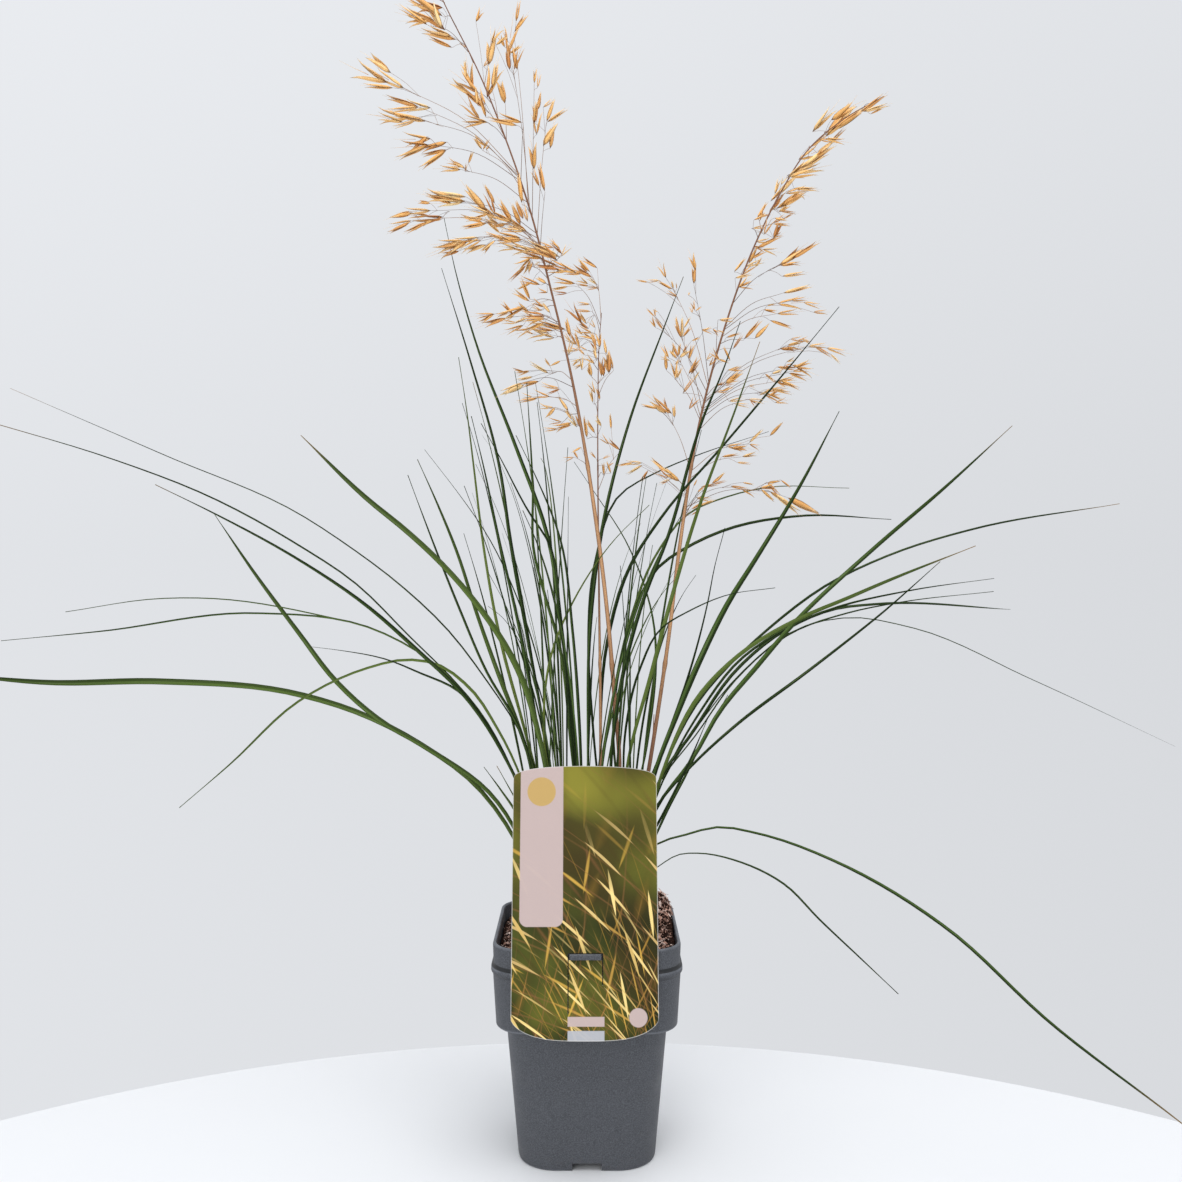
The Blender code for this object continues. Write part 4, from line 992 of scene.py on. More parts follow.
# %% Loose bits piece
def make_bits():
    draw = random.Random(7)
    parts = [
        chip_shape("bit_0", (0.0062, 0.0024, 0.0011), draw),
        chip_shape("bit_1", (0.0088, 0.0018, 0.0009), draw),
        chip_shape("bit_2", (0.0044, 0.0032, 0.0014), draw),
        crumb_shape("bit_3", 0.0011, draw),
        crumb_shape("bit_4", 0.0016, draw),
        fibre_shape("bit_5", 0.0120, 0.00022, 0.0024),
    ]
    shapes = gather("bits", parts)
    bits = new_object("soil_bits", [], [], None)
    bits.data = soil_bed.data.copy()
    run_tree(bits, scatter_bits, Shapes=shapes, Density=150000.0, Seed=11, Lowest=0.160, Reach=0.0685,
             Finish=soil_bark)
    clear_shapes(shapes)
    return bits


soil_bits = make_bits()
hand_over(soil_bits, "potting_soil")

# %% [markdown]
# ## Label card
#
# A stiff printed card with an arched top and a deeper arch below. A slot with a tongue
# hooks it over the pot's lug, and it leans back on the rim. A flat curve filled between its
# outline and the slot, then extruded, makes it in one step. The print is on the front face
# only and reads a UV map laid flat on the card, in tenths of a metre, so it leans with it.

# %% Card print
CARD_HALF_WIDTH = 0.0567
CARD_SIDE_TOP = 0.1305
CARD_SIDE_LOW = -0.047
CARD_TOP_RISE = 0.0131
CARD_LOW_DROP = 0.0164
CARD_TOP_POINTS = 41
CARD_LOW_POINTS = 41
CARD_THICK = 0.0008
CARD_LEAN = math.radians(11.5)
CARD_PIVOT = (-0.0015, -0.0778, 0.1783)
SLOT_HALF = 0.0137
SLOT_HEIGHT = 0.005
KERF = 0.0008
KERF_LEFT = 0.042
KERF_RIGHT = 0.021
SLOT_SHIFT = (0.0005, -0.0015)
UV_UNIT = 0.1

PRINT_MOSS = paint(0.020, 0.024, 0.006)
PRINT_GREEN = paint(0.066, 0.074, 0.012)
PRINT_GLOW = paint(0.300, 0.270, 0.036)
PRINT_BROWN = paint(0.060, 0.036, 0.009)
PRINT_STALK = paint(0.240, 0.112, 0.040)
PRINT_OCHRE = paint(0.430, 0.240, 0.040)
PRINT_GOLD = paint(0.720, 0.440, 0.075)
PRINT_CREAM = paint(0.920, 0.700, 0.270)
PANEL_PINK = paint(0.512, 0.405, 0.384)
PANEL_DISC = paint(0.511, 0.338, 0.114)
CARD_WHITE = paint(0.680, 0.670, 0.650)
PATCH_GREY = paint(0.430, 0.440, 0.470)
PANEL_LEFT = -0.0508
PANEL_RIGHT = -0.0170
PANEL_FOOT = 0.0205
PANEL_CORNER = 0.0062
DISC_PLACE = (-0.0342, 0.1235)
DISC_RADIUS = 0.0112
BADGE_PLACE = (0.0410, -0.0463)
BADGE_RADIUS = 0.0070
STRIP_PLACE = (0.0010, -0.0492)
STRIP_HALF = (0.0141, 0.0036)
PATCH_PLACE = (0.0010, -0.0620)
PATCH_HALF = (0.0141, 0.0062)
CARD_EDGE = 0.0003

# Layers of stems: the point they fan out from, their bend, lanes and seed, the width and blur
# of their seeds, how high they reach, their dark and bright tones, and their strength.
PRINT_LAYERS = (
    ((-1.6, -2.6), 0.010, 9.0, 2.0, 0.15, 0.20, 2.4, PRINT_BROWN, PRINT_OCHRE, 0.40),
    ((1.3, -3.0), 0.012, 17.0, 53.0, 0.09, 0.09, 2.4, PRINT_BROWN, PRINT_STALK, 0.60),
    ((-1.3, -2.2), 0.020, 21.0, 29.0, 0.07, 0.05, 1.3, PRINT_STALK, PRINT_OCHRE, 0.75),
    ((2.2, -2.0), 0.014, 17.0, 11.0, 0.08, 0.05, 2.2, PRINT_STALK, PRINT_GOLD, 0.80),
    ((-1.0, -3.2), 0.008, 12.0, 71.0, 0.05, 0.03, 2.2, PRINT_STALK, PRINT_GOLD, 0.80),
    ((0.6, -2.4), 0.016, 27.0, 17.0, 0.09, 0.04, 1.15, PRINT_STALK, PRINT_GOLD, 0.95),
    ((1.7, -2.4), 0.018, 15.0, 37.0, 0.060, 0.018, 2.4, PRINT_STALK, PRINT_CREAM, 1.00),
    ((0.9, -3.4), 0.006, 19.0, 91.0, 0.075, 0.020, 2.0, PRINT_OCHRE, PRINT_CREAM, 0.95),
    ((1.2, -1.9), 0.025, 23.0, 61.0, 0.080, 0.030, 1.10, PRINT_OCHRE, PRINT_CREAM, 0.95),
)


def card_sheen(tree, shader, u, v):
    """A soft satin lacquer with faint handling marks."""
    marks = noise_of(vector_of(u, v, 0.0), 9.0, 3.0)
    feed(shader, "Roughness", spread(marks, 0.35, 0.65, 0.34, 0.46))
    bump(tree, shader, noise_of(vector_of(u, v, 0.5), 260.0, 1.0), 0.04, 0.0001)


def make_sprig_print():
    """Shader group: stems that fan out from a point, with slender seeds along them."""
    group, given, result = new_group(
        "sprig_print",
        [("Side", NUMBER, 0.0), ("Rise", NUMBER, 0.0), ("Bend", NUMBER, 0.0), ("Lanes", NUMBER, 20.0),
         ("Seed", NUMBER, 0.0), ("Width", NUMBER, 0.1), ("Blur", NUMBER, 0.02)],
        [("Stem", NUMBER), ("Grain", NUMBER), ("Tone", NUMBER)],
    )
    side, rise = out(given, "Side"), out(given, "Rise")
    reach = calc("SQRT", calc("MULTIPLY_ADD", side, side, times(rise, rise)))
    bowed = times(times(reach, reach), out(given, "Bend"))
    angle = plus(calc("ARCTAN2", side, rise), bowed)
    lane = times(angle, out(given, "Lanes"))
    lane_number = calc("FLOOR", lane)
    lane_draw = white(plus(lane_number, out(given, "Seed")))
    off = minus(minus(lane, lane_number), spread(lane_draw, 0.0, 1.0, 0.3, 0.7))
    beat = plus(times(reach, 2.1), times(lane_draw, 9.0))
    beat_number = calc("FLOOR", beat)
    phase = minus(minus(beat, beat_number), 0.5)
    seed_draw = white(calc("MULTIPLY_ADD", beat_number, 17.3, times(lane_draw, 91.0)))
    splay = times(spread(seed_draw, 0.0, 1.0, -0.45, 0.45), phase)
    away = unsigned(minus(off, splay))
    long = times(times(phase, phase), 6.0)
    lens = times(minus(1.0, long), out(given, "Width"))
    inside = calc("DIVIDE", minus(lens, away), out(given, "Blur"))
    stem = calc("DIVIDE", unsigned(off), largest(out(given, "Blur"), 0.022))
    feed(result, "Stem", spread(stem, 0.3, 1.0, 1.0, 0.0))
    kept = calc("GREATER_THAN", seed_draw, 0.42)
    feed(result, "Grain", times(spread(inside, 0.0, 1.0), kept))
    feed(result, "Tone", seed_draw)
    return group


def white(value):
    """A random number between 0 and 1 that belongs to this value."""
    made = add_node(tree_of(value), "ShaderNodeTexWhiteNoise", {"W": value}, noise_dimensions="1D")
    return out(made, "Value")


def sprigs(u, v, centre, **given):
    """The sprig print's masks, fanned out from this point in the card's own plane."""
    place = {"Side": minus(u, centre[0]), "Rise": minus(v, centre[1])}
    made = add_node(tree_of(u), "ShaderNodeGroup", place | given, node_tree=sprig_print)
    return out(made, "Stem"), out(made, "Grain"), out(made, "Tone")


sprig_print = make_sprig_print()


def round_mask(u, v, place, radius):
    """1 within this distance of the place, in the card's own plane."""
    across = minus(u, place[0] / UV_UNIT)
    upward = minus(v, place[1] / UV_UNIT)
    squares = calc("MULTIPLY_ADD", across, across, times(upward, upward))
    edge = radius / UV_UNIT
    return spread(calc("SQRT", squares), edge - 0.003, edge + 0.003, 1.0, 0.0)


def block_mask(u, v, place, half):
    """1 within this half width and half height of the place."""
    across = unsigned(minus(u, place[0] / UV_UNIT))
    upward = unsigned(minus(v, place[1] / UV_UNIT))
    inside = smaller(minus(half[0] / UV_UNIT, across),
                  minus(half[1] / UV_UNIT, upward))
    return spread(inside, -0.002, 0.003)


def panel_mask(u, v):
    """1 on the plain panel, whose lower corners are round."""
    middle = (PANEL_LEFT + PANEL_RIGHT) / 2
    half = (PANEL_RIGHT - PANEL_LEFT) / 2
    upper = block_mask(u, v, (middle, PANEL_FOOT + PANEL_CORNER + 0.1), (half, 0.1))
    lower = block_mask(u, v, (middle, PANEL_FOOT + half), (half - PANEL_CORNER, half))
    left = round_mask(u, v, (PANEL_LEFT + PANEL_CORNER, PANEL_FOOT + PANEL_CORNER), PANEL_CORNER)
    right = round_mask(u, v, (PANEL_RIGHT - PANEL_CORNER, PANEL_FOOT + PANEL_CORNER), PANEL_CORNER)
    return largest(upper, lower, left, right)


def edge_mask(u, v):
    """1 along the cut edge of the card, where the white stock shows as a hairline."""
    half = CARD_HALF_WIDTH / UV_UNIT
    share = smaller(calc("DIVIDE", unsigned(u), half), 1.0)
    arch = calc("POWER", minus(1.0, calc("POWER", share, 2.0)), 0.25)
    bow = calc("POWER", minus(1.0, calc("POWER", share, 3.2)), 0.62)
    top = calc("MULTIPLY_ADD", arch, CARD_TOP_RISE / UV_UNIT, CARD_SIDE_TOP / UV_UNIT)
    low = calc("MULTIPLY_ADD", bow, -CARD_LOW_DROP / UV_UNIT, CARD_SIDE_LOW / UV_UNIT)
    ends = smaller(minus(top, v), minus(v, low))
    near = smaller(ends, minus(half, unsigned(u)))
    return spread(near, CARD_EDGE / UV_UNIT, CARD_EDGE / UV_UNIT + 0.003, 0.60, 0.0)


def meadow_print(u, v):
    """Out-of-focus ground, lighter towards the top, with layers of seeded stems over it."""
    blur = noise_of(vector_of(u, v, 3.1), 1.5, 2.0)
    patches = noise_of(vector_of(u, v, 8.4), 1.1, 1.0)
    ground = mix(spread(blur, 0.42, 0.62), PRINT_MOSS, PRINT_GREEN)
    browned = mix(spread(patches, 0.50, 0.66, 0.0, 0.60), ground, PRINT_BROWN)
    high = times(spread(v, 0.25, 1.05), spread(patches, 0.64, 0.42))
    low = times(spread(v, 0.10, -0.45), spread(blur, 0.48, 0.66))
    lit_up = largest(times(high, 0.75), times(low, 0.22))
    colour = mix(lit_up, browned, PRINT_GLOW)
    for centre, bend, lanes, seed, width, soft, top, tone, bright, strength in PRINT_LAYERS:
        stem, grain, draw_of = sprigs(u, v, centre, Bend=bend, Lanes=lanes, Seed=seed, Width=width, Blur=soft)
        fade = spread(plus(v, times(blur, 1.6)), top, top - 0.8, 0.0, 1.0)
        stemmed = mix(times(times(stem, fade), 0.48 * strength), colour, tone)
        lit = mix(draw_of, tone, bright)
        colour = mix(times(times(grain, fade), strength), stemmed, lit)
    return colour


def print_finish():
    made, tree, shader = new_finish("label_print", 0.40)
    shader.inputs["Specular IOR Level"].default_value = 0.10
    uv = out(add_node(tree, "ShaderNodeUVMap", uv_map="card_flat"))
    parts = add_node(tree, "ShaderNodeSeparateXYZ", {0: uv})
    u, v = out(parts, "X"), out(parts, "Y")
    panelled = mix(times(panel_mask(u, v), 0.98), meadow_print(u, v), PANEL_PINK)
    badge = round_mask(u, v, BADGE_PLACE, BADGE_RADIUS)
    strip = block_mask(u, v, STRIP_PLACE, STRIP_HALF)
    patch = block_mask(u, v, PATCH_PLACE, PATCH_HALF)
    blanks = mix(times(largest(badge, strip), 0.97), panelled, PANEL_PINK)
    patched = mix(times(patch, 0.95), blanks, PATCH_GREY)
    disc = round_mask(u, v, DISC_PLACE, DISC_RADIUS)
    dotted = mix(times(disc, 0.96), patched, PANEL_DISC)
    finished = mix(edge_mask(u, v), dotted, CARD_WHITE)
    feed(shader, "Base Color", finished)
    card_sheen(tree, shader, u, v)
    return made


def card_stock_finish():
    made, tree, shader = new_finish("card_stock", 0.6)
    mask, mottle = speckle_of(surface_place(tree), 40.0, 0.3)
    worn = mix(spread(mottle, 0.35, 0.7, 0.0, 0.25), CARD_WHITE, PANEL_PINK)
    feed(shader, "Base Color", worn)
    bump(tree, shader, mask, 0.1, 0.0002)
    return made


label_print = print_finish()
card_stock = card_stock_finish()
for finish in (label_print, card_stock):
    print(finish.name, len(finish.node_tree.nodes), "nodes")

# %% Card piece
def card_outline():
    """The card's edge in its own plane: a flat arch with round ends on top and a deeper arch below."""
    half = CARD_HALF_WIDTH
    top = [
        (x, CARD_SIDE_TOP + CARD_TOP_RISE * (1 - (x / half) ** 2) ** 0.25)
        for x in half * np.sin(np.radians(np.linspace(84, -84, CARD_TOP_POINTS)))
    ]
    low = [
        (x, CARD_SIDE_LOW - CARD_LOW_DROP * (1 - (abs(x) / half) ** 3.2) ** 0.62)
        for x in half * np.sin(np.radians(np.linspace(-84, 84, CARD_LOW_POINTS)))
    ]
    return [(-half, CARD_SIDE_LOW + 0.002), *low, (half, CARD_SIDE_LOW + 0.002), (half, CARD_SIDE_TOP), *top,
            (-half, CARD_SIDE_TOP)]


def slot_outline():
    """The slot for the lug, with the two kerfs that free the tongue below it."""
    half, tall = SLOT_HALF, SLOT_HEIGHT / 2
    return [
        (-half, tall), (-half, -KERF_LEFT), (-half + KERF, -KERF_LEFT), (-half + KERF, -tall),
        (half - KERF, -tall), (half - KERF, -KERF_RIGHT), (half, -KERF_RIGHT), (half, tall),
    ]


def make_card():
    outline = bpy.data.curves.new("hang_card", "CURVE")
    outline.dimensions = "2D"
    outline.fill_mode = "BOTH"
    outline.extrude = CARD_THICK / 2
    for points, shift in ((card_outline(), (0.0, 0.0)), (slot_outline(), SLOT_SHIFT)):
        spline = outline.splines.new("POLY")
        spline.points.add(len(points) - 1)
        for point, (x, y) in zip(spline.points, points):
            point.co = (x + shift[0], y + shift[1], 0.0, 1.0)
        spline.use_cyclic_u = True
    flat = bpy.data.objects.new("hang_card", outline)
    bpy.context.scene.collection.objects.link(flat)
    graph = bpy.context.evaluated_depsgraph_get()
    mesh = bpy.data.meshes.new_from_object(flat.evaluated_get(graph))
    bpy.data.objects.remove(flat, do_unlink=True)
    mesh.materials.clear()
    mesh.materials.append(label_print)
    mesh.materials.append(card_stock)
    edit = bmesh.new()
    edit.from_mesh(mesh)
    bmesh.ops.remove_doubles(edit, verts=edit.verts, dist=0.00001)
    bmesh.ops.recalc_face_normals(edit, faces=edit.faces)
    flat_map = edit.loops.layers.uv.new("card_flat")
    for face in edit.faces:
        face.material_index = 0 if face.normal.z > 0.5 else 1
        for corner in face.loops:
            corner[flat_map].uv = (corner.vert.co.x / UV_UNIT, corner.vert.co.y / UV_UNIT)
    lean = Matrix.Translation(CARD_PIVOT) @ Matrix.Rotation(math.radians(90) - CARD_LEAN, 4, "X")
    edit.transform(lean)
    edit.to_mesh(mesh)
    edit.free()
    card = bpy.data.objects.new("hang_card", mesh)
    bpy.context.scene.collection.objects.link(card)
    return card


hang_card = make_card()
hand_over(hang_card, "label_print", "label_card")

# %% [markdown]
# ## Where each leaf and flower stem runs
#
# The solids that these pieces replace are placed by a rule: the blades that shape the
# outline follow points on a front elevation, the rest rise from their shoot at random, and
# each is drawn again until it stands clear of the others. The same rule with the same seed
# gives the same plant here, so each fine leaf follows the same curve as its plain solid.

# %% Tuft dimensions
SHOOT_RADIUS = 0.0042
SHOOT_FOOT_Z = 0.1512
SHOOT_TOP_Z = 0.207
BLADE_FOOT_Z = SHOOT_TOP_Z - 0.018
SHEATH_LEAN = 0.12
SHEATH_RISE = 0.0756
LONG_SEGMENTS = 9
SHORT_SEGMENTS = 7
FILL_SEGMENTS = 5
CLEARANCE = 0.0008
ROOTED = 2
LOWEST_LEAF = 0.014
CARD_CLEAR = 0.004
CARD_REACH = (0.066, 0.335)
RIM_REACH = (0.060, 0.084)
RIM_CLEAR_Z = 0.196
SEED = 46
SHOOT_PLACES = (
    (-36, -8), (-33, 10), (-22, -22), (-19, 24), (-17, 2), (-3, -15),
    (-2, 31), (3, -32), (19, 26), (22, -25), (38, -14), (36, 22),
)
STEM_PLACES = ((15, -5), (2, 9), (34, 4))
OUTLINE_BLADES = (
    (0, 4.4, (-94, 296), (-139, 329), (-188, 354), (-239, 370), (-355, 381), (-447, 380), (-530, 387)),
    (0, 4.0, (-80, 287), (-133, 325), (-172, 348), (-210, 382), (-239, 420), (-276, 470), (-310, 520)),
    (2, 3.2, (-74, 341), (-97, 375), (-127, 396), (-150, 399), (-183, 392), (-239, 365), (-297, 312),
     (-339, 276)),
    (4, 2.6, (-57, 341), (-83, 381), (-116, 424), (-154, 460), (-199, 494), (-239, 520), (-351, 569),
     (-480, 625)),
    (1, 2.6, (-72, 328), (-97, 366), (-150, 421), (-194, 464), (-239, 494), (-314, 535), (-397, 567),
     (-503, 599)),
    (2, 3.6, (-62, 306), (-101, 368), (-141, 407), (-183, 444), (-239, 482), (-310, 521), (-359, 545)),
    (1, 2.4, (-66, 316), (-89, 356), (-127, 396), (-176, 424), (-222, 436), (-310, 450), (-357, 450),
     (-434, 439)),
    (1, 2.8, (-68, 320), (-93, 361), (-131, 399), (-176, 424), (-276, 438), (-404, 423), (-488, 415)),
    (0, 2.8, (-64, 310), (-77, 336), (-110, 375), (-139, 388), (-166, 399), (-206, 407), (-230, 410)),
    (2, 4.0, (-39, 332), (-56, 388), (-97, 452), (-123, 481), (-150, 506), (-183, 533), (-238, 586)),
    (0, 3.2, (-57, 343), (-83, 388), (-105, 439), (-123, 484), (-139, 526), (-149, 553)),
    (4, 3.0, (-56, 341), (-74, 388), (-92, 439), (-107, 486), (-127, 535), (-141, 566)),
    (3, 2.4, (-35, 374), (-56, 445), (-85, 506), (-105, 535), (-135, 574)),
    (3, 2.4, (-43, 366), (-64, 432), (-87, 504), (-102, 544)),
    (4, 3.0, (-52, 341), (-72, 415), (-87, 499), (-94, 557), (-100, 605), (-107, 651)),
    (4, 3.0, (-41, 341), (-56, 424), (-73, 499), (-87, 565), (-96, 602)),
    (5, 2.6, (-14, 349), (-22, 432), (-33, 499), (-47, 520), (-73, 569), (-88, 596)),
    (3, 3.2, (-35, 336), (-49, 415), (-64, 499), (-73, 560), (-97, 647), (-121, 725)),
    (5, 3.6, (-12, 341), (-21, 424), (-32, 499), (-59, 576), (-91, 659), (-110, 725), (-119, 767)),
    (5, 2.8, (-6, 341), (-12, 424), (-22, 499), (-45, 557), (-59, 586)),
    (6, 2.8, (-14, 332), (-22, 406), (-37, 460), (-44, 488), (-45, 541), (-50, 630)),
    (0, 2.4, (-58, 270), (-72, 291), (-86, 310)),
    (2, 2.2, (-56, 277), (-66, 295), (-75, 311)),
    (7, 3.2, (1, 332), (2, 415), (11, 499), (35, 597), (64, 676), (80, 718)),
    (9, 3.4, (21, 328), (29, 382), (47, 449), (67, 500), (98, 603), (112, 636), (128, 681)),
    (9, 3.4, (37, 328), (52, 382), (70, 449), (93, 525), (122, 603), (144, 664)),
    (8, 3.2, (11, 332), (17, 415), (35, 475), (63, 519), (114, 578), (162, 635), (210, 693)),
    (8, 2.6, (5, 340), (1, 407), (7, 482), (27, 536), (58, 555), (91, 569), (151, 589)),
    (6, 2.6, (21, 366), (36, 432), (57, 486), (86, 522), (114, 534), (146, 542), (218, 542)),
    (11, 2.8, (23, 366), (37, 432), (58, 475), (87, 495), (114, 507), (178, 519), (253, 516)),
    (10, 4.0, (57, 307), (73, 349), (94, 399), (119, 449), (138, 479), (178, 545), (210, 606)),
    (8, 2.4, (67, 336), (86, 391), (101, 449), (106, 475), (115, 509)),
    (11, 2.4, (32, 341), (44, 391), (62, 425), (86, 440), (117, 453), (157, 459)),
    (10, 4.0, (58, 276), (88, 317), (111, 357), (141, 393), (169, 426), (240, 493), (297, 542), (354, 594)),
    (11, 2.8, (67, 316), (94, 366), (115, 391), (151, 425), (199, 461), (251, 486), (322, 508), (443, 529)),
    (10, 3.8, (65, 311), (94, 370), (129, 405), (180, 435), (216, 450), (251, 465), (324, 494)),
    (11, 2.8, (71, 316), (94, 356), (127, 399), (169, 427), (199, 440), (269, 457), (339, 467)),
    (8, 2.4, (62, 300), (90, 336), (123, 382), (169, 421), (216, 438), (260, 447), (338, 456)),
    (10, 3.6, (62, 302), (86, 336), (123, 389), (169, 426), (202, 440), (240, 445), (352, 441)),
    (11, 2.4, (66, 304), (90, 341), (129, 389), (178, 426), (216, 434), (269, 426), (369, 383), (489, 327)),
    (9, 3.0, (57, 276), (88, 312), (123, 344), (183, 389), (218, 416), (243, 436), (294, 481)),
    (10, 3.4, (58, 246), (80, 253), (110, 260), (141, 255), (210, 230), (302, 174), (385, 98), (495, 14),
     (528, -12)),
    (9, 2.6, (58, 226), (77, 237), (94, 238), (127, 231), (165, 212), (194, 183), (227, 152), (260, 121)),
    (10, 2.4, (65, 270), (82, 303), (98, 336), (117, 370)),
    (9, 2.2, (62, 268), (86, 316), (101, 351)),
    (8, 2.4, (50, 330), (54, 436), (33, 496), (5, 540), (-11, 564)),
    (4, 2.2, (-36, 340), (-30, 402), (-8, 454), (22, 498), (52, 528)),
)
OUTLINE_DEPTHS = (-0.17, 0.16)
LOW_BLADE_DEPTHS = (-0.27, -0.19)
LOW_BLADE_TIP = 0.13
FILL_BLADES = 37
FILL_LENGTH = (0.27, 0.52)
FILL_WIDTH = (1.5, 2.5)

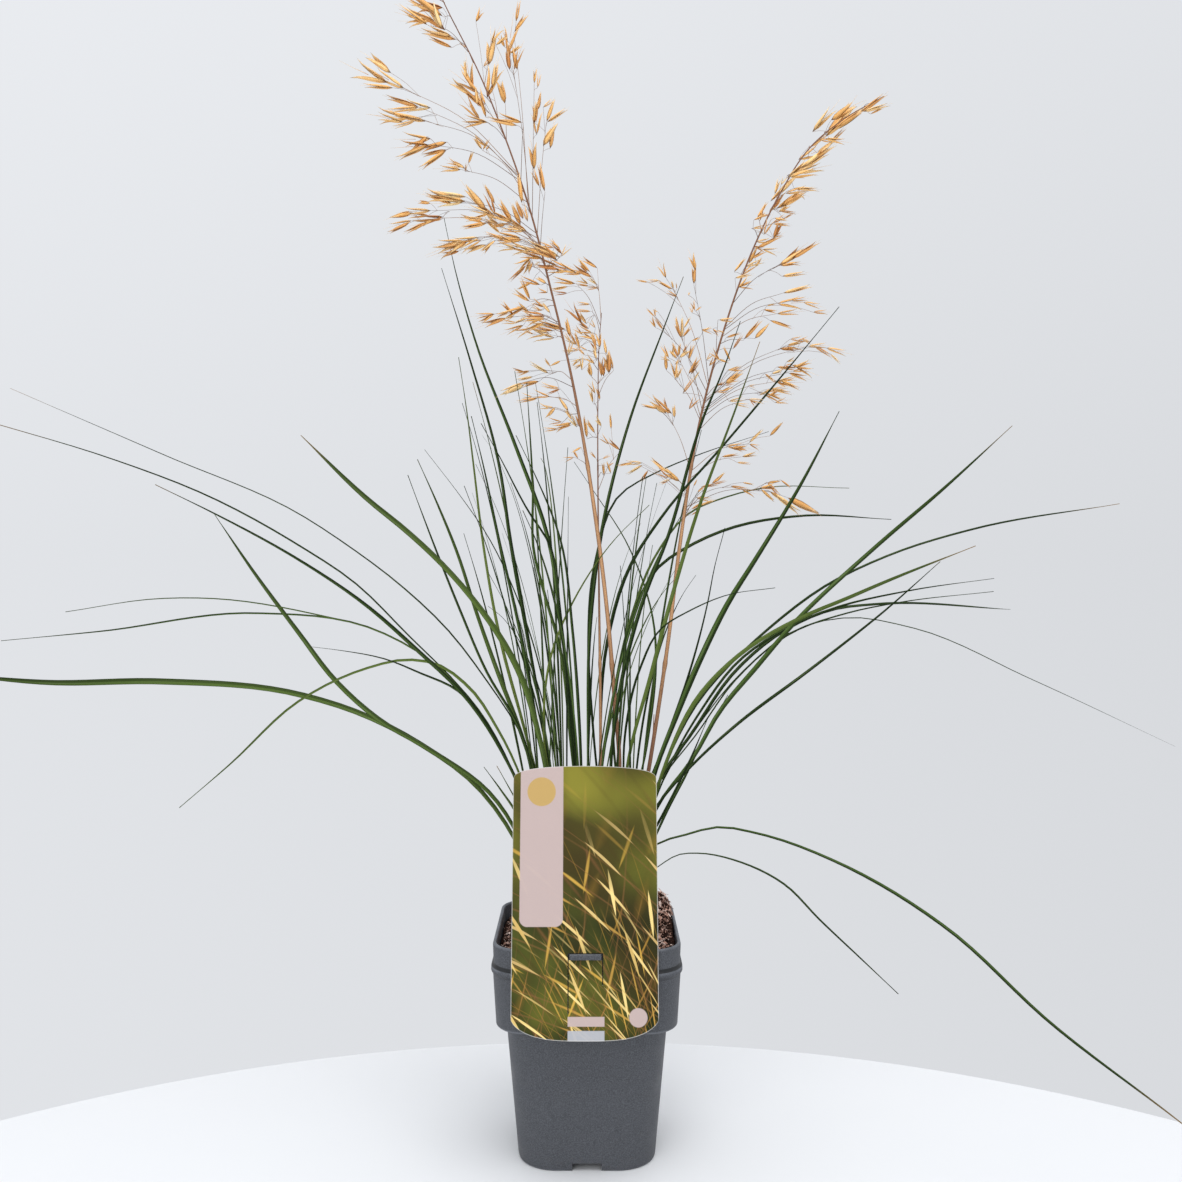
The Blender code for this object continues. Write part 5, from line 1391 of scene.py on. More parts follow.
# %% Flower stem dimensions
STEM_POINTS = (
    ((27, 313), (23, 366), (17, 437), (6, 525), (-6, 599), (-14, 640), (-31, 711), (-47, 772),
     (-69, 836), (-91, 890), (-119, 946), (-128, 966)),
    ((11, 312), (11, 366), (10, 449), (9, 549), (9, 615), (10, 661), (12, 688)),
    ((53, 318), (62, 376), (67, 411), (77, 493), (95, 603), (114, 674), (139, 743), (160, 786),
     (186, 826), (215, 850), (247, 868)),
)
STEM_RADII = (0.0019, 0.0014, 0.0018)
SPRAYS = (
    (
        (946, (-134, 950, -156, 956), (-128, 955, -146, 964)),
        (926, (-119, 934, -145, 952), (-120, 923, -131, 945), (-122, 939, -148, 948)),
        (905, (-132, 927, -155, 942), (-126, 931, -154, 936)),
        (896, (-108, 915, -136, 922), (-112, 918, -134, 925)),
        (876, (-82, 893, -79, 920), (-80, 912, -72, 926)),
        (862, (-95, 872, -101, 899)),
        (848, (-79, 874, -75, 897)),
        (834, (-85, 858, -103, 874), (-95, 868, -115, 882), (-84, 860, -93, 874)),
        (832, (-84, 847, -105, 844), (-90, 849, -105, 868)),
        (830, (-68, 861, -74, 884)),
        (804, (-151, 874, -178, 889), (-165, 879, -198, 893), (-160, 875, -184, 877)),
        (802, (-133, 847, -160, 853), (-147, 850, -177, 852)),
        (800, (-139, 859, -165, 867), (-139, 859, -164, 856)),
        (798, (-131, 828, -157, 825), (-131, 828, -156, 817), (-116, 824, -136, 819), (-116, 824, -137, 809)),
        (796, (-53, 846, -75, 852)),
        (788, (-87, 823, -95, 836), (-87, 823, -82, 832)),
        (780, (-104, 807, -124, 808), (-101, 808, -112, 814), (-99, 811, -95, 823)),
        (776, (-61, 921, -50, 937), (-66, 903, -62, 930), (-68, 908, -74, 920)),
        (772, (-61, 889, -54, 910), (-64, 889, -67, 908), (-65, 903, -54, 911)),
        (770, (-54, 778, -57, 802), (-49, 763, -54, 779)),
        (766, (-44, 878, -43, 892), (-41, 856, -39, 870), (-42, 835, -42, 857), (-44, 806, -46, 831)),
        (752, (-34, 846, -28, 864), (-34, 846, -18, 857), (-37, 826, -26, 846)),
        (742, (-35, 788, -40, 811)),
        (754, (-100, 780, -130, 788), (-112, 782, -136, 786), (-102, 780, -127, 779)),
        (750, (-129, 773, -153, 772), (-119, 768, -141, 764), (-131, 769, -151, 769)),
        (746, (-145, 765, -165, 759), (-147, 763, -164, 755), (-132, 764, -150, 755)),
        (744, (-82, 763, -102, 759), (-85, 766, -103, 766)),
        (742, (-89, 751, -112, 744), (-100, 748, -128, 739), (-87, 749, -110, 741), (-104, 745, -128, 736)),
        (738, (-76, 768, -85, 791), (-83, 772, -103, 794), (-70, 758, -86, 769), (-80, 770, -100, 776)),
        (734, (-62, 763, -74, 782), (-61, 763, -84, 772), (-62, 762, -80, 766)),
        (732, (-49, 755, -68, 765), (-50, 756, -71, 757), (-54, 750, -78, 753)),
        (728, (-52, 749, -74, 747), (-60, 746, -76, 752), (-75, 749, -87, 740)),
        (724, (-24, 731, -40, 745), (-22, 734, -14, 745), (-28, 733, -46, 742), (-20, 736, -31, 749)),
        (722, (-24, 727, -44, 731), (-30, 738, -52, 746), (-36, 733, -58, 737), (-45, 741, -66, 740)),
        (718, (-14, 724, -33, 731), (-22, 724, -42, 727), (-16, 722, -36, 724), (-8, 721, -26, 727)),
        (716, (-50, 728, -64, 715), (-46, 734, -61, 724), (-47, 733, -51, 718)),
        (710, (-38, 711, -57, 717), (-33, 712, -43, 718)),
        (698, (-47, 697, -63, 707), (-47, 698, -55, 716)),
        (694, (-35, 692, -47, 699), (-36, 690, -46, 691)),
        (680, (-76, 687, -94, 685), (-77, 687, -90, 679), (-64, 689, -77, 685)),
        (678, (-66, 684, -88, 677), (-52, 678, -69, 671)),
        (676, (-34, 686, -57, 687), (-33, 683, -54, 682), (-30, 687, -38, 697)),
        (672, (-46, 675, -62, 669), (-33, 678, -50, 678), (-30, 671, -54, 671)),
        (666, (-26, 667, -48, 669), (-27, 673, -45, 675)),
        (632, (-31, 637, -47, 646), (-47, 640, -60, 636), (-44, 635, -58, 632)),
        (626, (-53, 630, -72, 620), (-22, 625, -35, 627)),
        (610, (-30, 618, -47, 621), (-40, 617, -57, 614)),
        (604, (-20, 597, -34, 598), (-26, 610, -34, 600), (-27, 609, -37, 610)),
        (592, (-12, 595, -26, 591), (-12, 598, -19, 609), (-8, 592, -16, 604)),
        (560, (-7, 566, -12, 574), (-10, 568, -21, 565)),
    ),
    (
        (681, (9, 711, -1, 718), (10, 709, -2, 708), (3, 721, -7, 732), (5, 717, -14, 727)),
        (677, (-9, 712, -30, 716), (-15, 710, -30, 707)),
        (670, (4, 689, -10, 690), (-4, 679, -17, 696), (0, 678, -8, 689)),
        (662, (5, 671, -10, 675), (-3, 669, -12, 677), (5, 666, -7, 671)),
        (660, (-14, 667, -18, 684), (-13, 663, -20, 672), (-6, 657, -10, 671), (-9, 661, -19, 667)),
        (654, (8, 655, 3, 668), (11, 658, 9, 673), (-10, 657, -20, 656)),
        (646, (8, 648, 5, 661), (-1, 652, -9, 660), (7, 645, -3, 653)),
        (640, (-4, 650, -14, 645), (-3, 646, -12, 641)),
        (628, (4, 634, 1, 648), (12, 634, 11, 652), (14, 634, 12, 650)),
        (618, (22, 640, 16, 657)),
        (604, (5, 612, 2, 626), (7, 620, 1, 632)),
        (584, (0, 583, -2, 598), (7, 587, -1, 599)),
        (560, (8, 566, 2, 573), (12, 566, 20, 570)),
        (550, (14, 552, 13, 564)),
        (540, (28, 573, 16, 583), (20, 590, 19, 603)),
    ),
    (
        (862, (227, 854, 247, 869), (229, 855, 250, 861)),
        (838, (199, 835, 221, 862), (205, 839, 228, 860), (198, 834, 218, 853)),
        (836, (197, 833, 216, 830), (208, 842, 228, 856)),
        (820, (185, 825, 200, 837), (175, 815, 197, 825)),
        (800, (166, 800, 188, 813), (178, 808, 204, 827), (172, 804, 198, 810)),
        (798, (170, 803, 197, 820), (168, 801, 180, 801)),
        (782, (156, 786, 160, 800), (152, 780, 164, 793), (158, 786, 173, 801)),
        (778, (164, 787, 185, 792)),
        (768, (157, 774, 176, 787), (160, 776, 181, 790), (163, 776, 179, 786), (159, 773, 173, 771)),
        (756, (141, 766, 149, 779), (142, 767, 152, 770)),
        (752, (154, 762, 167, 770), (154, 762, 168, 761)),
        (750, (137, 758, 149, 760), (147, 752, 154, 768)),
        (736, (140, 741, 159, 751), (145, 741, 160, 738), (134, 728, 141, 742)),
        (716, (128, 719, 142, 730), (131, 726, 148, 732)),
        (704, (125, 708, 137, 718), (126, 709, 139, 711)),
        (696, (159, 727, 180, 740), (170, 732, 191, 746), (160, 727, 174, 729)),
        (676, (162, 704, 185, 710)),
        (674, (169, 698, 184, 700), (179, 697, 195, 693)),
        (668, (157, 687, 177, 689), (151, 682, 169, 676)),
        (662, (130, 665, 144, 681), (115, 667, 127, 671)),
        (650, (109, 682, 124, 682), (104, 675, 111, 669), (121, 657, 129, 669)),
        (640, (111, 648, 102, 658), (107, 650, 115, 648), (101, 643, 108, 652)),
        (628, (89, 711, 89, 729), (90, 689, 87, 699), (90, 689, 95, 693)),
        (626, (72, 707, 59, 714), (72, 707, 70, 715), (66, 716, 60, 730), (61, 715, 49, 714)),
        (622, (64, 673, 56, 684), (57, 684, 50, 691), (57, 684, 56, 692)),
        (614, (84, 636, 94, 652), (86, 636, 93, 648), (79, 620, 89, 634)),
        (606, (79, 666, 73, 680), (79, 666, 79, 683), (79, 667, 87, 677), (86, 664, 95, 668)),
        (600, (76, 650, 71, 662), (76, 651, 77, 663), (79, 654, 84, 662), (76, 650, 86, 658)),
        (598, (74, 632, 72, 650), (74, 632, 79, 642), (70, 648, 60, 651)),
        (618, (114, 628, 130, 640), (115, 630, 128, 633), (116, 632, 128, 637), (116, 640, 128, 642)),
        (616, (111, 622, 122, 627), (114, 627, 123, 630)),
        (614, (183, 660, 201, 661), (198, 659, 217, 654), (188, 661, 203, 652)),
        (612, (165, 660, 182, 660), (168, 666, 181, 666), (166, 661, 179, 664)),
        (608, (173, 643, 190, 637), (171, 642, 187, 648), (157, 643, 173, 641)),
        (606, (167, 638, 184, 633), (147, 638, 157, 630), (170, 639, 184, 641)),
        (604, (158, 631, 175, 634), (160, 632, 176, 625), (157, 630, 176, 630)),
        (600, (146, 622, 165, 626), (152, 625, 169, 621), (147, 620, 163, 616)),
        (590, (133, 616, 149, 614), (135, 616, 142, 610)),
        (556, (134, 579, 145, 590), (134, 579, 145, 575), (115, 577, 131, 576)),
        (550, (128, 568, 142, 571), (111, 568, 125, 570)),
        (526, (151, 540, 168, 529), (155, 538, 176, 522), (144, 542, 155, 532), (143, 542, 159, 544)),
        (522, (118, 544, 134, 541), (128, 541, 141, 537)),
        (518, (103, 545, 112, 553), (104, 545, 115, 548), (94, 543, 108, 545)),
        (512, (86, 524, 96, 530), (93, 527, 105, 532), (91, 538, 98, 544)),
        (556, (68, 602, 64, 616), (67, 603, 52, 618), (60, 608, 46, 611)),
        (538, (69, 550, 56, 558), (70, 550, 60, 545), (68, 554, 54, 566)),
        (532, (78, 547, 62, 558), (47, 563, 31, 563), (47, 562, 34, 554)),
    ),
)
SPRAY_DEPTH = 0.045
SPRAY_ROOM = 0.0026
SPRAY_TAKES = 0.0024
SPIKELET_DEPTH = 0.006
SPRAY_TRIES = 60

# %% Paths and clearances
def smooth_path(points, count):
    """count + 1 points at equal spacing along a smooth curve through the given points."""
    p = np.array(points, float)
    t = run_of(p)
    slope = np.gradient(p, t, axis=0)
    dense = []
    for i in range(len(p) - 1):
        span = t[i + 1] - t[i]
        for s in np.linspace(0.0, 1.0, 13)[: -1 if i < len(p) - 2 else None]:
            a, b = (1 + 2 * s) * (1 - s) ** 2, s * (1 - s) ** 2
            c, d = s * s * (3 - 2 * s), s * s * (s - 1)
            dense.append(a * p[i] + b * span * slope[i] + c * p[i + 1] + d * span * slope[i + 1])
    return evenly(np.array(dense), count + 1)


def segment_distances(p0, p1, q0, q1):
    """Shortest distance between every segment p and every segment q."""
    d1, d2 = (p1 - p0)[:, None, :], (q1 - q0)[None, :, :]
    r = p0[:, None, :] - q0[None, :, :]
    a, e = (d1 * d1).sum(-1), (d2 * d2).sum(-1)
    b, c, f = (d1 * d2).sum(-1), (d1 * r).sum(-1), (d2 * r).sum(-1)
    over = a * e - b * b
    s = np.where(over > 1e-14, np.clip((b * f - c * e) / np.maximum(over, 1e-14), 0, 1), 0.0)
    t = np.clip((b * s + f) / e, 0, 1)
    s = np.clip((b * t - c) / a, 0, 1)
    return np.linalg.norm(r + s[..., None] * d1 - t[..., None] * d2, axis=-1)


class Taken:
    """Segments that already have a place, each with its node and its half width."""

    def __init__(self):
        self.start = np.zeros((0, 3))
        self.end = np.zeros((0, 3))
        self.half = np.zeros(0)
        self.node = np.zeros(0, int)
        self.free = np.zeros(0, bool)

    def add(self, path, half, node, rooted=99):
        """Take the path's segments; those from the rooted-th on stand free of their own node too."""
        count = len(path) - 1
        self.start = np.concatenate([self.start, path[:-1]])
        self.end = np.concatenate([self.end, path[1:]])
        self.half = np.concatenate([self.half, np.broadcast_to(half, count)])
        self.node = np.concatenate([self.node, np.full(count, node)])
        self.free = np.concatenate([self.free, np.arange(count) >= rooted])

    def clear(self, path, half, node, rooted=99):
        """True where the path keeps its distance from other nodes and from free parts of its own."""
        count = len(path) - 1
        away = segment_distances(path[:-1], path[1:], self.start, self.end)
        room = np.broadcast_to(half, count)[:, None] + self.half[None, :] + CLEARANCE
        own = (np.arange(count) < rooted)[:, None] | ~self.free[None, :]
        ignored = (self.node == node)[None, :] & own
        return bool(((away > room) | ignored).all())


def fine(path, parts=6):
    """The path's points with more between them, for tests against a plane."""
    steps = np.linspace(0.0, len(path) - 1, (len(path) - 1) * parts + 1)
    return np.stack([np.interp(steps, np.arange(len(path)), path[:, k]) for k in range(3)], axis=1)


def behind_card(path):
    """True where no point of the path comes within 4 mm of the card or passes before it."""
    lean = math.tan(CARD_LEAN)
    for x, y, z in fine(path):
        plane = CARD_PIVOT[1] + (z - CARD_PIVOT[2]) * lean
        if z < CARD_REACH[1] and abs(x) < CARD_REACH[0] and y < plane + CARD_CLEAR:
            return False
    return True


def over_rim(path):
    """True where the path clears the pot's rim and stays above the ground."""
    for x, y, z in fine(path):
        outside = max(abs(x), abs(y))
        if z < LOWEST_LEAF or (RIM_REACH[0] < outside < RIM_REACH[1] and z < RIM_CLEAR_Z):
            return False
    return True


def in_depth(x, z, y):
    """The place at depth y that the front elevation shows at (x, z) millimetres."""
    grow = 1.0 + y / SIGHT_Y
    return (x * MM * grow, y, SIGHT_Z + (z * MM - SIGHT_Z) * grow)

# %% Routes of the blades
def elevation_route(place, points, depth):
    """A blade's route from its shoot through the elevation's points, back to its depth."""
    run = np.array([(0.0, 0.0)] + [(x - points[0][0], z - points[0][1] + 60.0) for x, z in points])
    along = np.cumsum(np.concatenate([[0.0], np.linalg.norm(np.diff(run, axis=0), axis=1)]))[1:]
    shares = (along / along[-1]) ** 1.25
    foot = (place[0] * MM, place[1] * MM)
    first = (points[0][0] * MM, points[0][1] * MM)
    lean_in = foot[0] + (first[0] - foot[0]) * SHEATH_LEAN
    route = [
        (foot[0], foot[1], BLADE_FOOT_Z),
        (lean_in, foot[1], SHOOT_TOP_Z + (first[1] - SHOOT_TOP_Z) * SHEATH_RISE),
    ]
    for (x, z), share in zip(points, shares):
        route.append(in_depth(x, z, foot[1] + (depth - foot[1]) * share))
    return route


def fill_route(draw, place):
    """A blade's route that rises from its shoot and leans over as it goes."""
    foot = np.array((place[0] * MM, place[1] * MM, BLADE_FOOT_Z))
    heading = math.atan2(place[1], place[0]) + draw.gauss(0.0, 0.75)
    length = draw.uniform(*FILL_LENGTH)
    start = math.radians(draw.uniform(2, 13))
    end = math.radians(draw.uniform(14, 82))
    at, route = foot.copy(), [foot.copy()]
    for step in range(10):
        lean = start + (end - start) * (step / 9) ** 1.6
        at = at + length / 10 * np.array((
            math.sin(lean) * math.cos(heading), math.sin(lean) * math.sin(heading), math.cos(lean)))
        route.append(at.copy())
    return route


def inside_tuft(path):
    """True where the front elevation shows the blade within the dense middle of the tuft."""
    for x, y, z in path:
        shrink = 1.0 / (1.0 + y / SIGHT_Y)
        seen_x, seen_z = x * shrink, SIGHT_Z + (z - SIGHT_Z) * shrink
        rise = max(seen_z - 0.310, 0.0)
        if y < -0.060 and seen_z < 0.335:
            return False
        if not -0.060 - 0.24 * rise < seen_x < 0.054 + 0.26 * rise or seen_z > 0.640:
            return False
    return True


def blade_halves(path, width):
    """Half width at each ring: narrow at the sheath, full by half way, drawn out to the tip."""
    share = np.linspace(0.0, 1.0, len(path))
    grown = np.minimum(1.0, 0.46 + 1.2 * share)
    drawn = 1.0 - share ** 2.4
    return np.maximum(width * MM / 2 * grown * drawn, 0.00045)


def place_blades(taken):
    """Every blade as a dictionary: its shoot, its route, its width and the way that it faces."""
    draw = random.Random(SEED)
    blades = []
    for number, (shoot, width, *points) in enumerate(OUTLINE_BLADES):
        reach = max(abs(x) for x, z in points) * MM
        low = min(z for x, z in points[2:]) * MM
        room = LOW_BLADE_DEPTHS if low < LOW_BLADE_TIP else OUTLINE_DEPTHS
        shoots = [shoot] * 14 + sorted(
            range(len(SHOOT_PLACES)), key=lambda i: abs(SHOOT_PLACES[i][0] - SHOOT_PLACES[shoot][0])) * 8
        for owner in shoots:
            depth = draw.uniform(*room) * min(1.0, reach / 0.25 + 0.2)
            route = elevation_route(SHOOT_PLACES[owner], points, depth)
            path = smooth_path(route, LONG_SEGMENTS if reach > 0.2 else SHORT_SEGMENTS)
            halves = blade_halves(path, width)
            if not (behind_card(path) and over_rim(path)):
                continue
            if taken.clear(path, halves[:-1], owner, ROOTED):
                break
        else:
            print("no room for outline blade", number)
            continue
        roll = draw.uniform(-0.5, 0.5)
        facing = Vector((0.35 * math.copysign(1.0, points[-1][0]) * roll, -1.0, 0.55 + roll)).normalized()
        taken.add(path, halves[:-1], owner, ROOTED)
        blades.append({"shoot": owner, "route": route, "width": width, "facing": facing})
    placed = 0
    for attempt in range(FILL_BLADES * 60):
        if placed == FILL_BLADES:
            break
        owner = placed % len(SHOOT_PLACES) if attempt % 3 else draw.randrange(len(SHOOT_PLACES))
        route = fill_route(draw, SHOOT_PLACES[owner])
        path = smooth_path(route, FILL_SEGMENTS)
        width = draw.uniform(*FILL_WIDTH)
        halves = blade_halves(path, width)
        roll = draw.uniform(-0.9, 0.9)
        if not (inside_tuft(path) and behind_card(path) and over_rim(path)):
            continue
        if not taken.clear(path, halves[:-1], owner, ROOTED):
            continue
        lean = path[-1] - path[0]
        facing = Vector((-lean[0] + roll * lean[1], -lean[1] - roll * lean[0], 0.3 * lean[2])).normalized()
        taken.add(path, halves[:-1], owner, ROOTED)
        blades.append({"shoot": owner, "route": route, "width": width, "facing": facing})
        placed += 1
    print("blades", len(blades), "of them fill", placed)
    return blades

# %% Routes of the flower stems
def stem_route(number):
    place = STEM_PLACES[number]
    points = STEM_POINTS[number]
    depth = (place[1] * MM) * 2.2
    tall = points[-1][1] - 200.0
    route = [(place[0] * MM, place[1] * MM, SHOOT_FOOT_Z), (place[0] * MM, place[1] * MM, 0.200)]
    for x, z in points:
        route.append(in_depth(x, z, place[1] * MM + (depth - place[1] * MM) * (z - 200.0) / tall))
    return route


def stem_at(path, z):
    """The point of the stem's path at height z."""
    order = np.argsort(path[:, 2])
    return np.array([np.interp(z, path[order, 2], path[order, k]) for k in range(3)])


def smooth_point(path, share):
    place = share * (len(path) - 1)
    low = min(int(place), len(path) - 2)
    return path[low] + (path[low + 1] - path[low]) * (place - low)


def draw_spray(draw, stem, z, places):
    start = stem_at(stem, SIGHT_Z + (z * MM - SIGHT_Z) * (1 + stem_at(stem, z * MM)[1] / SIGHT_Y))
    depth = start[1] + draw.uniform(-SPRAY_DEPTH, SPRAY_DEPTH)
    end = np.array(in_depth(places[0][0], places[0][1], depth))
    middle = start + (end - start) * 0.5 + np.array((0.0, 0.0, 0.10 * np.linalg.norm(end - start)))
    route = [start, middle, end]
    path = smooth_path(route, 2)
    spikelets = []
    for foot_x, foot_z, tip_x, tip_z in places:
        near = depth if not spikelets else depth + draw.uniform(-SPIKELET_DEPTH, SPIKELET_DEPTH)
        foot = np.array(in_depth(foot_x, foot_z, near))
        tip = np.array(in_depth(tip_x, tip_z, near + draw.uniform(-SPIKELET_DEPTH, SPIKELET_DEPTH)))
        root = root_on(path, foot) if spikelets else foot - (tip - foot) * 0.006
        spikelets.append({
            "root": root, "foot": foot, "tip": tip,
            "fork": draw.uniform(0.03, 0.12), "roll": draw.uniform(-1.2, 1.2),
        })
    return {"route": route, "path": path, "spikelets": spikelets}


def root_on(path, foot):
    """Where the stalk of a spikelet leaves its branch: behind the point that lies nearest its foot."""
    shares = np.linspace(0.05, 1.0, 39)
    gaps = [np.linalg.norm(smooth_point(path, share) - foot) for share in shares]
    near = int(np.argmin(gaps))
    long = np.linalg.norm(path[-1] - path[0])
    return smooth_point(path, max(shares[near] - 0.8 * gaps[near] / long, 0.05))


def place_spikelets(taken):
    """Sprays and spikelets of each flower stem, drawn again until they clear the other stems."""
    draw = random.Random(SEED + 1)
    stems = []
    for number, sprays in enumerate(SPRAYS):
        path = smooth_path(stem_route(number), 15)
        taken.add(path, STEM_RADII[number], 100 + number)
        stems.append({"path": path, "sprays": []})
    for number, sprays in enumerate(SPRAYS):
        stem = stems[number]
        for z, *places in sprays:
            for _ in range(SPRAY_TRIES):
                spray = draw_spray(draw, stem["path"], z, places)
                parts = [spray["path"]]
                parts += [np.array((s["root"], s["foot"], s["tip"])) for s in spray["spikelets"]]
                if all(taken.clear(part, SPRAY_ROOM, 100 + number) for part in parts):
                    break
            else:
                print("no room for a spray of stem", number, "at", z)
                continue
            for part in parts:
                taken.add(part, SPRAY_TAKES, 100 + number)
            stem["sprays"].append(spray)
    print("spikelets", [sum(len(spray["spikelets"]) for spray in stem["sprays"]) for stem in stems])
    return stems

# %% Place them all
taken = Taken()
for number, (x, y) in enumerate(SHOOT_PLACES):
    sheath = np.array(((x * MM, y * MM, SHOOT_FOOT_Z), (x * MM, y * MM, SHOOT_TOP_Z + 0.004)))
    taken.add(sheath, SHOOT_RADIUS, number)
stems = place_spikelets(taken)
blades = place_blades(taken)

# %% [markdown]
# ## Strands
#
# Leaves, sheaths, stalks and hair-fine branches are all strands: a midline, a width that
# changes along it, and a way that it faces. Each could be skinned by hand in mesh code. One
# Geometry Nodes tree does it for all of them: it turns the mesh's chains of edges into
# curves and sweeps a profile along them. A circle folded about its middle gives a blade's
# channel, and left round it gives a stalk. The profile's own x is kept as "across".

# %% Tree that sweeps strands
def make_strand_tree():
    group, given, result = new_group(
        "sweep_strands",
        [("Midlines", GEOMETRY, None), ("Sides", "NodeSocketInt", 8),
         ("Fold", NUMBER, 0.0), ("Thickness", NUMBER, 1.0),
         ("Finish", "NodeSocketMaterial", None)],
        [("Strands", GEOMETRY)],
        "GeometryNodeTree",
    )
    curve = add_node(group, "GeometryNodeMeshToCurve", {"Mesh": out(given, "Midlines")})
    aimed = add_node(group, "GeometryNodeSetCurveNormal", {
        "Curve": out(curve), "Normal": stored(group, "facing", "FLOAT_VECTOR")}, mode="FREE")
    circle = add_node(group, "GeometryNodeCurvePrimitiveCircle", {
        "Resolution": out(given, "Sides"), "Radius": 1.0}, mode="RADIUS")
    place = add_node(group, "ShaderNodeSeparateXYZ", {0: out(add_node(group, "GeometryNodeInputPosition"))})
    x, y = out(place, "X"), out(place, "Y")
    folded = times(unsigned(x), out(given, "Fold"))
    deep = calc("MULTIPLY_ADD", y, out(given, "Thickness"), folded)
    kept = add_node(group, "GeometryNodeStoreNamedAttribute", {
        "Geometry": out(circle, "Curve"), "Name": "across", "Value": x}, data_type="FLOAT")
    profile = add_node(group, "GeometryNodeSetPosition", {
        "Geometry": out(kept), "Position": vector_of(deep, times(x, -1.0), 0.0)})
    swept = add_node(group, "GeometryNodeCurveToMesh", {
        "Curve": out(aimed), "Profile Curve": out(profile), "Scale": stored(group, "half"),
        "Fill Caps": True})
    smooth = add_node(group, "GeometryNodeSetShadeSmooth", {"Geometry": out(swept)})
    return end_tree(group, given, result, out(smooth))


sweep_strands = make_strand_tree()
print(sweep_strands.name, len(sweep_strands.nodes), "nodes")

# %% From routes to strands
def along_path(path):
    """Unit directions of a path at each of its points."""
    ahead = np.gradient(path, axis=0)
    return ahead / np.linalg.norm(ahead, axis=1, keepdims=True)


def squared(facing, ahead):
    """The part of each facing that is square to the path, as unit vectors."""
    facing = np.broadcast_to(np.array(facing, float), ahead.shape)
    flat = facing - (facing * ahead).sum(axis=1, keepdims=True) * ahead
    return flat / np.linalg.norm(flat, axis=1, keepdims=True)


def twisted(facing, ahead, angles):
    """The facings turned about the path by these angles."""
    side = np.cross(ahead, facing)
    return facing * np.cos(angles)[:, None] + side * np.sin(angles)[:, None]


def strand(path, half, facing, tint, dry=0.0):
    """A strand's values at each point of its path."""
    count = len(path)
    return {
        "path": path, "half": np.broadcast_to(half, count), "facing": facing,
        "tint": np.broadcast_to(tint, count), "dry": np.broadcast_to(dry, count),
        "along": np.linspace(0.0, 1.0, count),
    }


def sweep(name, strands, sides, fold, thickness, finish):
    """One mesh of all the strands."""
    points = np.concatenate([s["path"] for s in strands])
    edges, first = [], 0
    for s in strands:
        edges += [(first + i, first + i + 1) for i in range(len(s["path"]) - 1)]
        first += len(s["path"])
    made = new_object(name, points, [], None, edges)
    store(made, "facing", np.concatenate([s["facing"] for s in strands]).ravel(), "FLOAT_VECTOR")
    for label in ("half", "tint", "dry", "along"):
        store(made, label, np.concatenate([s[label] for s in strands]).astype(float))
    return run_tree(made, sweep_strands, Sides=sides, Fold=fold, Thickness=thickness, Finish=finish)

# %% [markdown]
# ## Leafy shoots
#
# Each shoot is a bundle of blades that leave a sheath near the soil. A blade is a narrow
# channel that twists slowly and draws out to a hair-fine tip. Old papery sheaths wrap the
# foot. One shoot also keeps the short red-brown stub of a broken flower stem.

# %% Blades and sheaths
LEAF_POINTS = 40
LEAF_SIDES = 10
LEAF_FOLD = 0.42
LEAF_THICK = 0.15
LEAF_TIP = 0.00028
LEAF_SPREAD = 0.96

# Outer blades that stand alone: number, share of their width, tint, and how long they stay broad.
LONE_BLADES = (
    (0, 1.28, 0.60, 14.0), (1, 1.25, 0.58, 6.0), (2, 0.80, 0.75, 6.0), (3, 0.62, 0.05, 8.0),
    (4, 0.54, 0.10, 8.0), (5, 0.95, 0.20, 4.0), (6, 0.60, 0.60, 7.0), (7, 0.64, 0.45, 7.0),
    (8, 0.76, 0.05, 8.0), (9, 1.28, 0.66, 9.0), (10, 0.80, 0.30, 5.0), (11, 1.25, 0.62, 5.0),
    (12, 0.66, 0.20, 5.0), (13, 0.66, 0.20, 5.0), (29, 0.95, 0.12, 9.0), (30, 1.25, 0.45, 5.0),
    (33, 1.02, 0.52, 6.0), (34, 0.82, 0.08, 9.0), (35, 0.95, 0.75, 6.0), (36, 0.82, 0.15, 6.0),
    (37, 0.66, 0.20, 6.0), (38, 1.00, 0.10, 16.0), (39, 0.64, 0.10, 9.0), (40, 0.90, 0.05, 6.0),
    (41, 0.76, 0.40, 8.0), (42, 0.62, 0.10, 8.0),
)
lone_looks = {number: look for number, *look in LONE_BLADES}

STUB_SHOOT = 10
STUB_ROUTE = (
    (0.0380, -0.0140, 0.1900), (0.0440, -0.0150, 0.2500), (0.0505, -0.0160, 0.3110),
    (0.0538, -0.0165, 0.3350), (0.0549, -0.0170, 0.3560),
)
STUB_HALF = 0.0010


def leaf_strand(draw, blade, look):
    """A blade of the tuft as a strand, with the look of a lone blade if it has one."""
    path = smooth_path(blade["route"], LEAF_POINTS)
    share = np.linspace(0.0, 1.0, len(path))
    drawn_look = (1.0, held(draw.gauss(0.40, 0.30)), draw.uniform(3.0, 5.6))
    broad, tint, full = look or drawn_look
    grown = np.minimum(1.0, 0.46 + 1.2 * share)
    drawn = 1.0 - share ** full
    ripple = 1.0 + 0.06 * np.sin(share * draw.uniform(9, 17) + draw.uniform(0, 6))
    half = np.maximum(blade["width"] * broad * MM / 2 * LEAF_SPREAD * grown * drawn * ripple, LEAF_TIP)
    ahead = along_path(path)
    turn = draw.gauss(0.0, 0.40) * share ** 1.6 + 0.10 * np.sin(share * 8 + draw.uniform(0, 6))
    dry = max(0.0, draw.gauss(0.0, 0.16))
    return strand(path, half, twisted(squared(blade["facing"], ahead), ahead, turn), tint, dry)


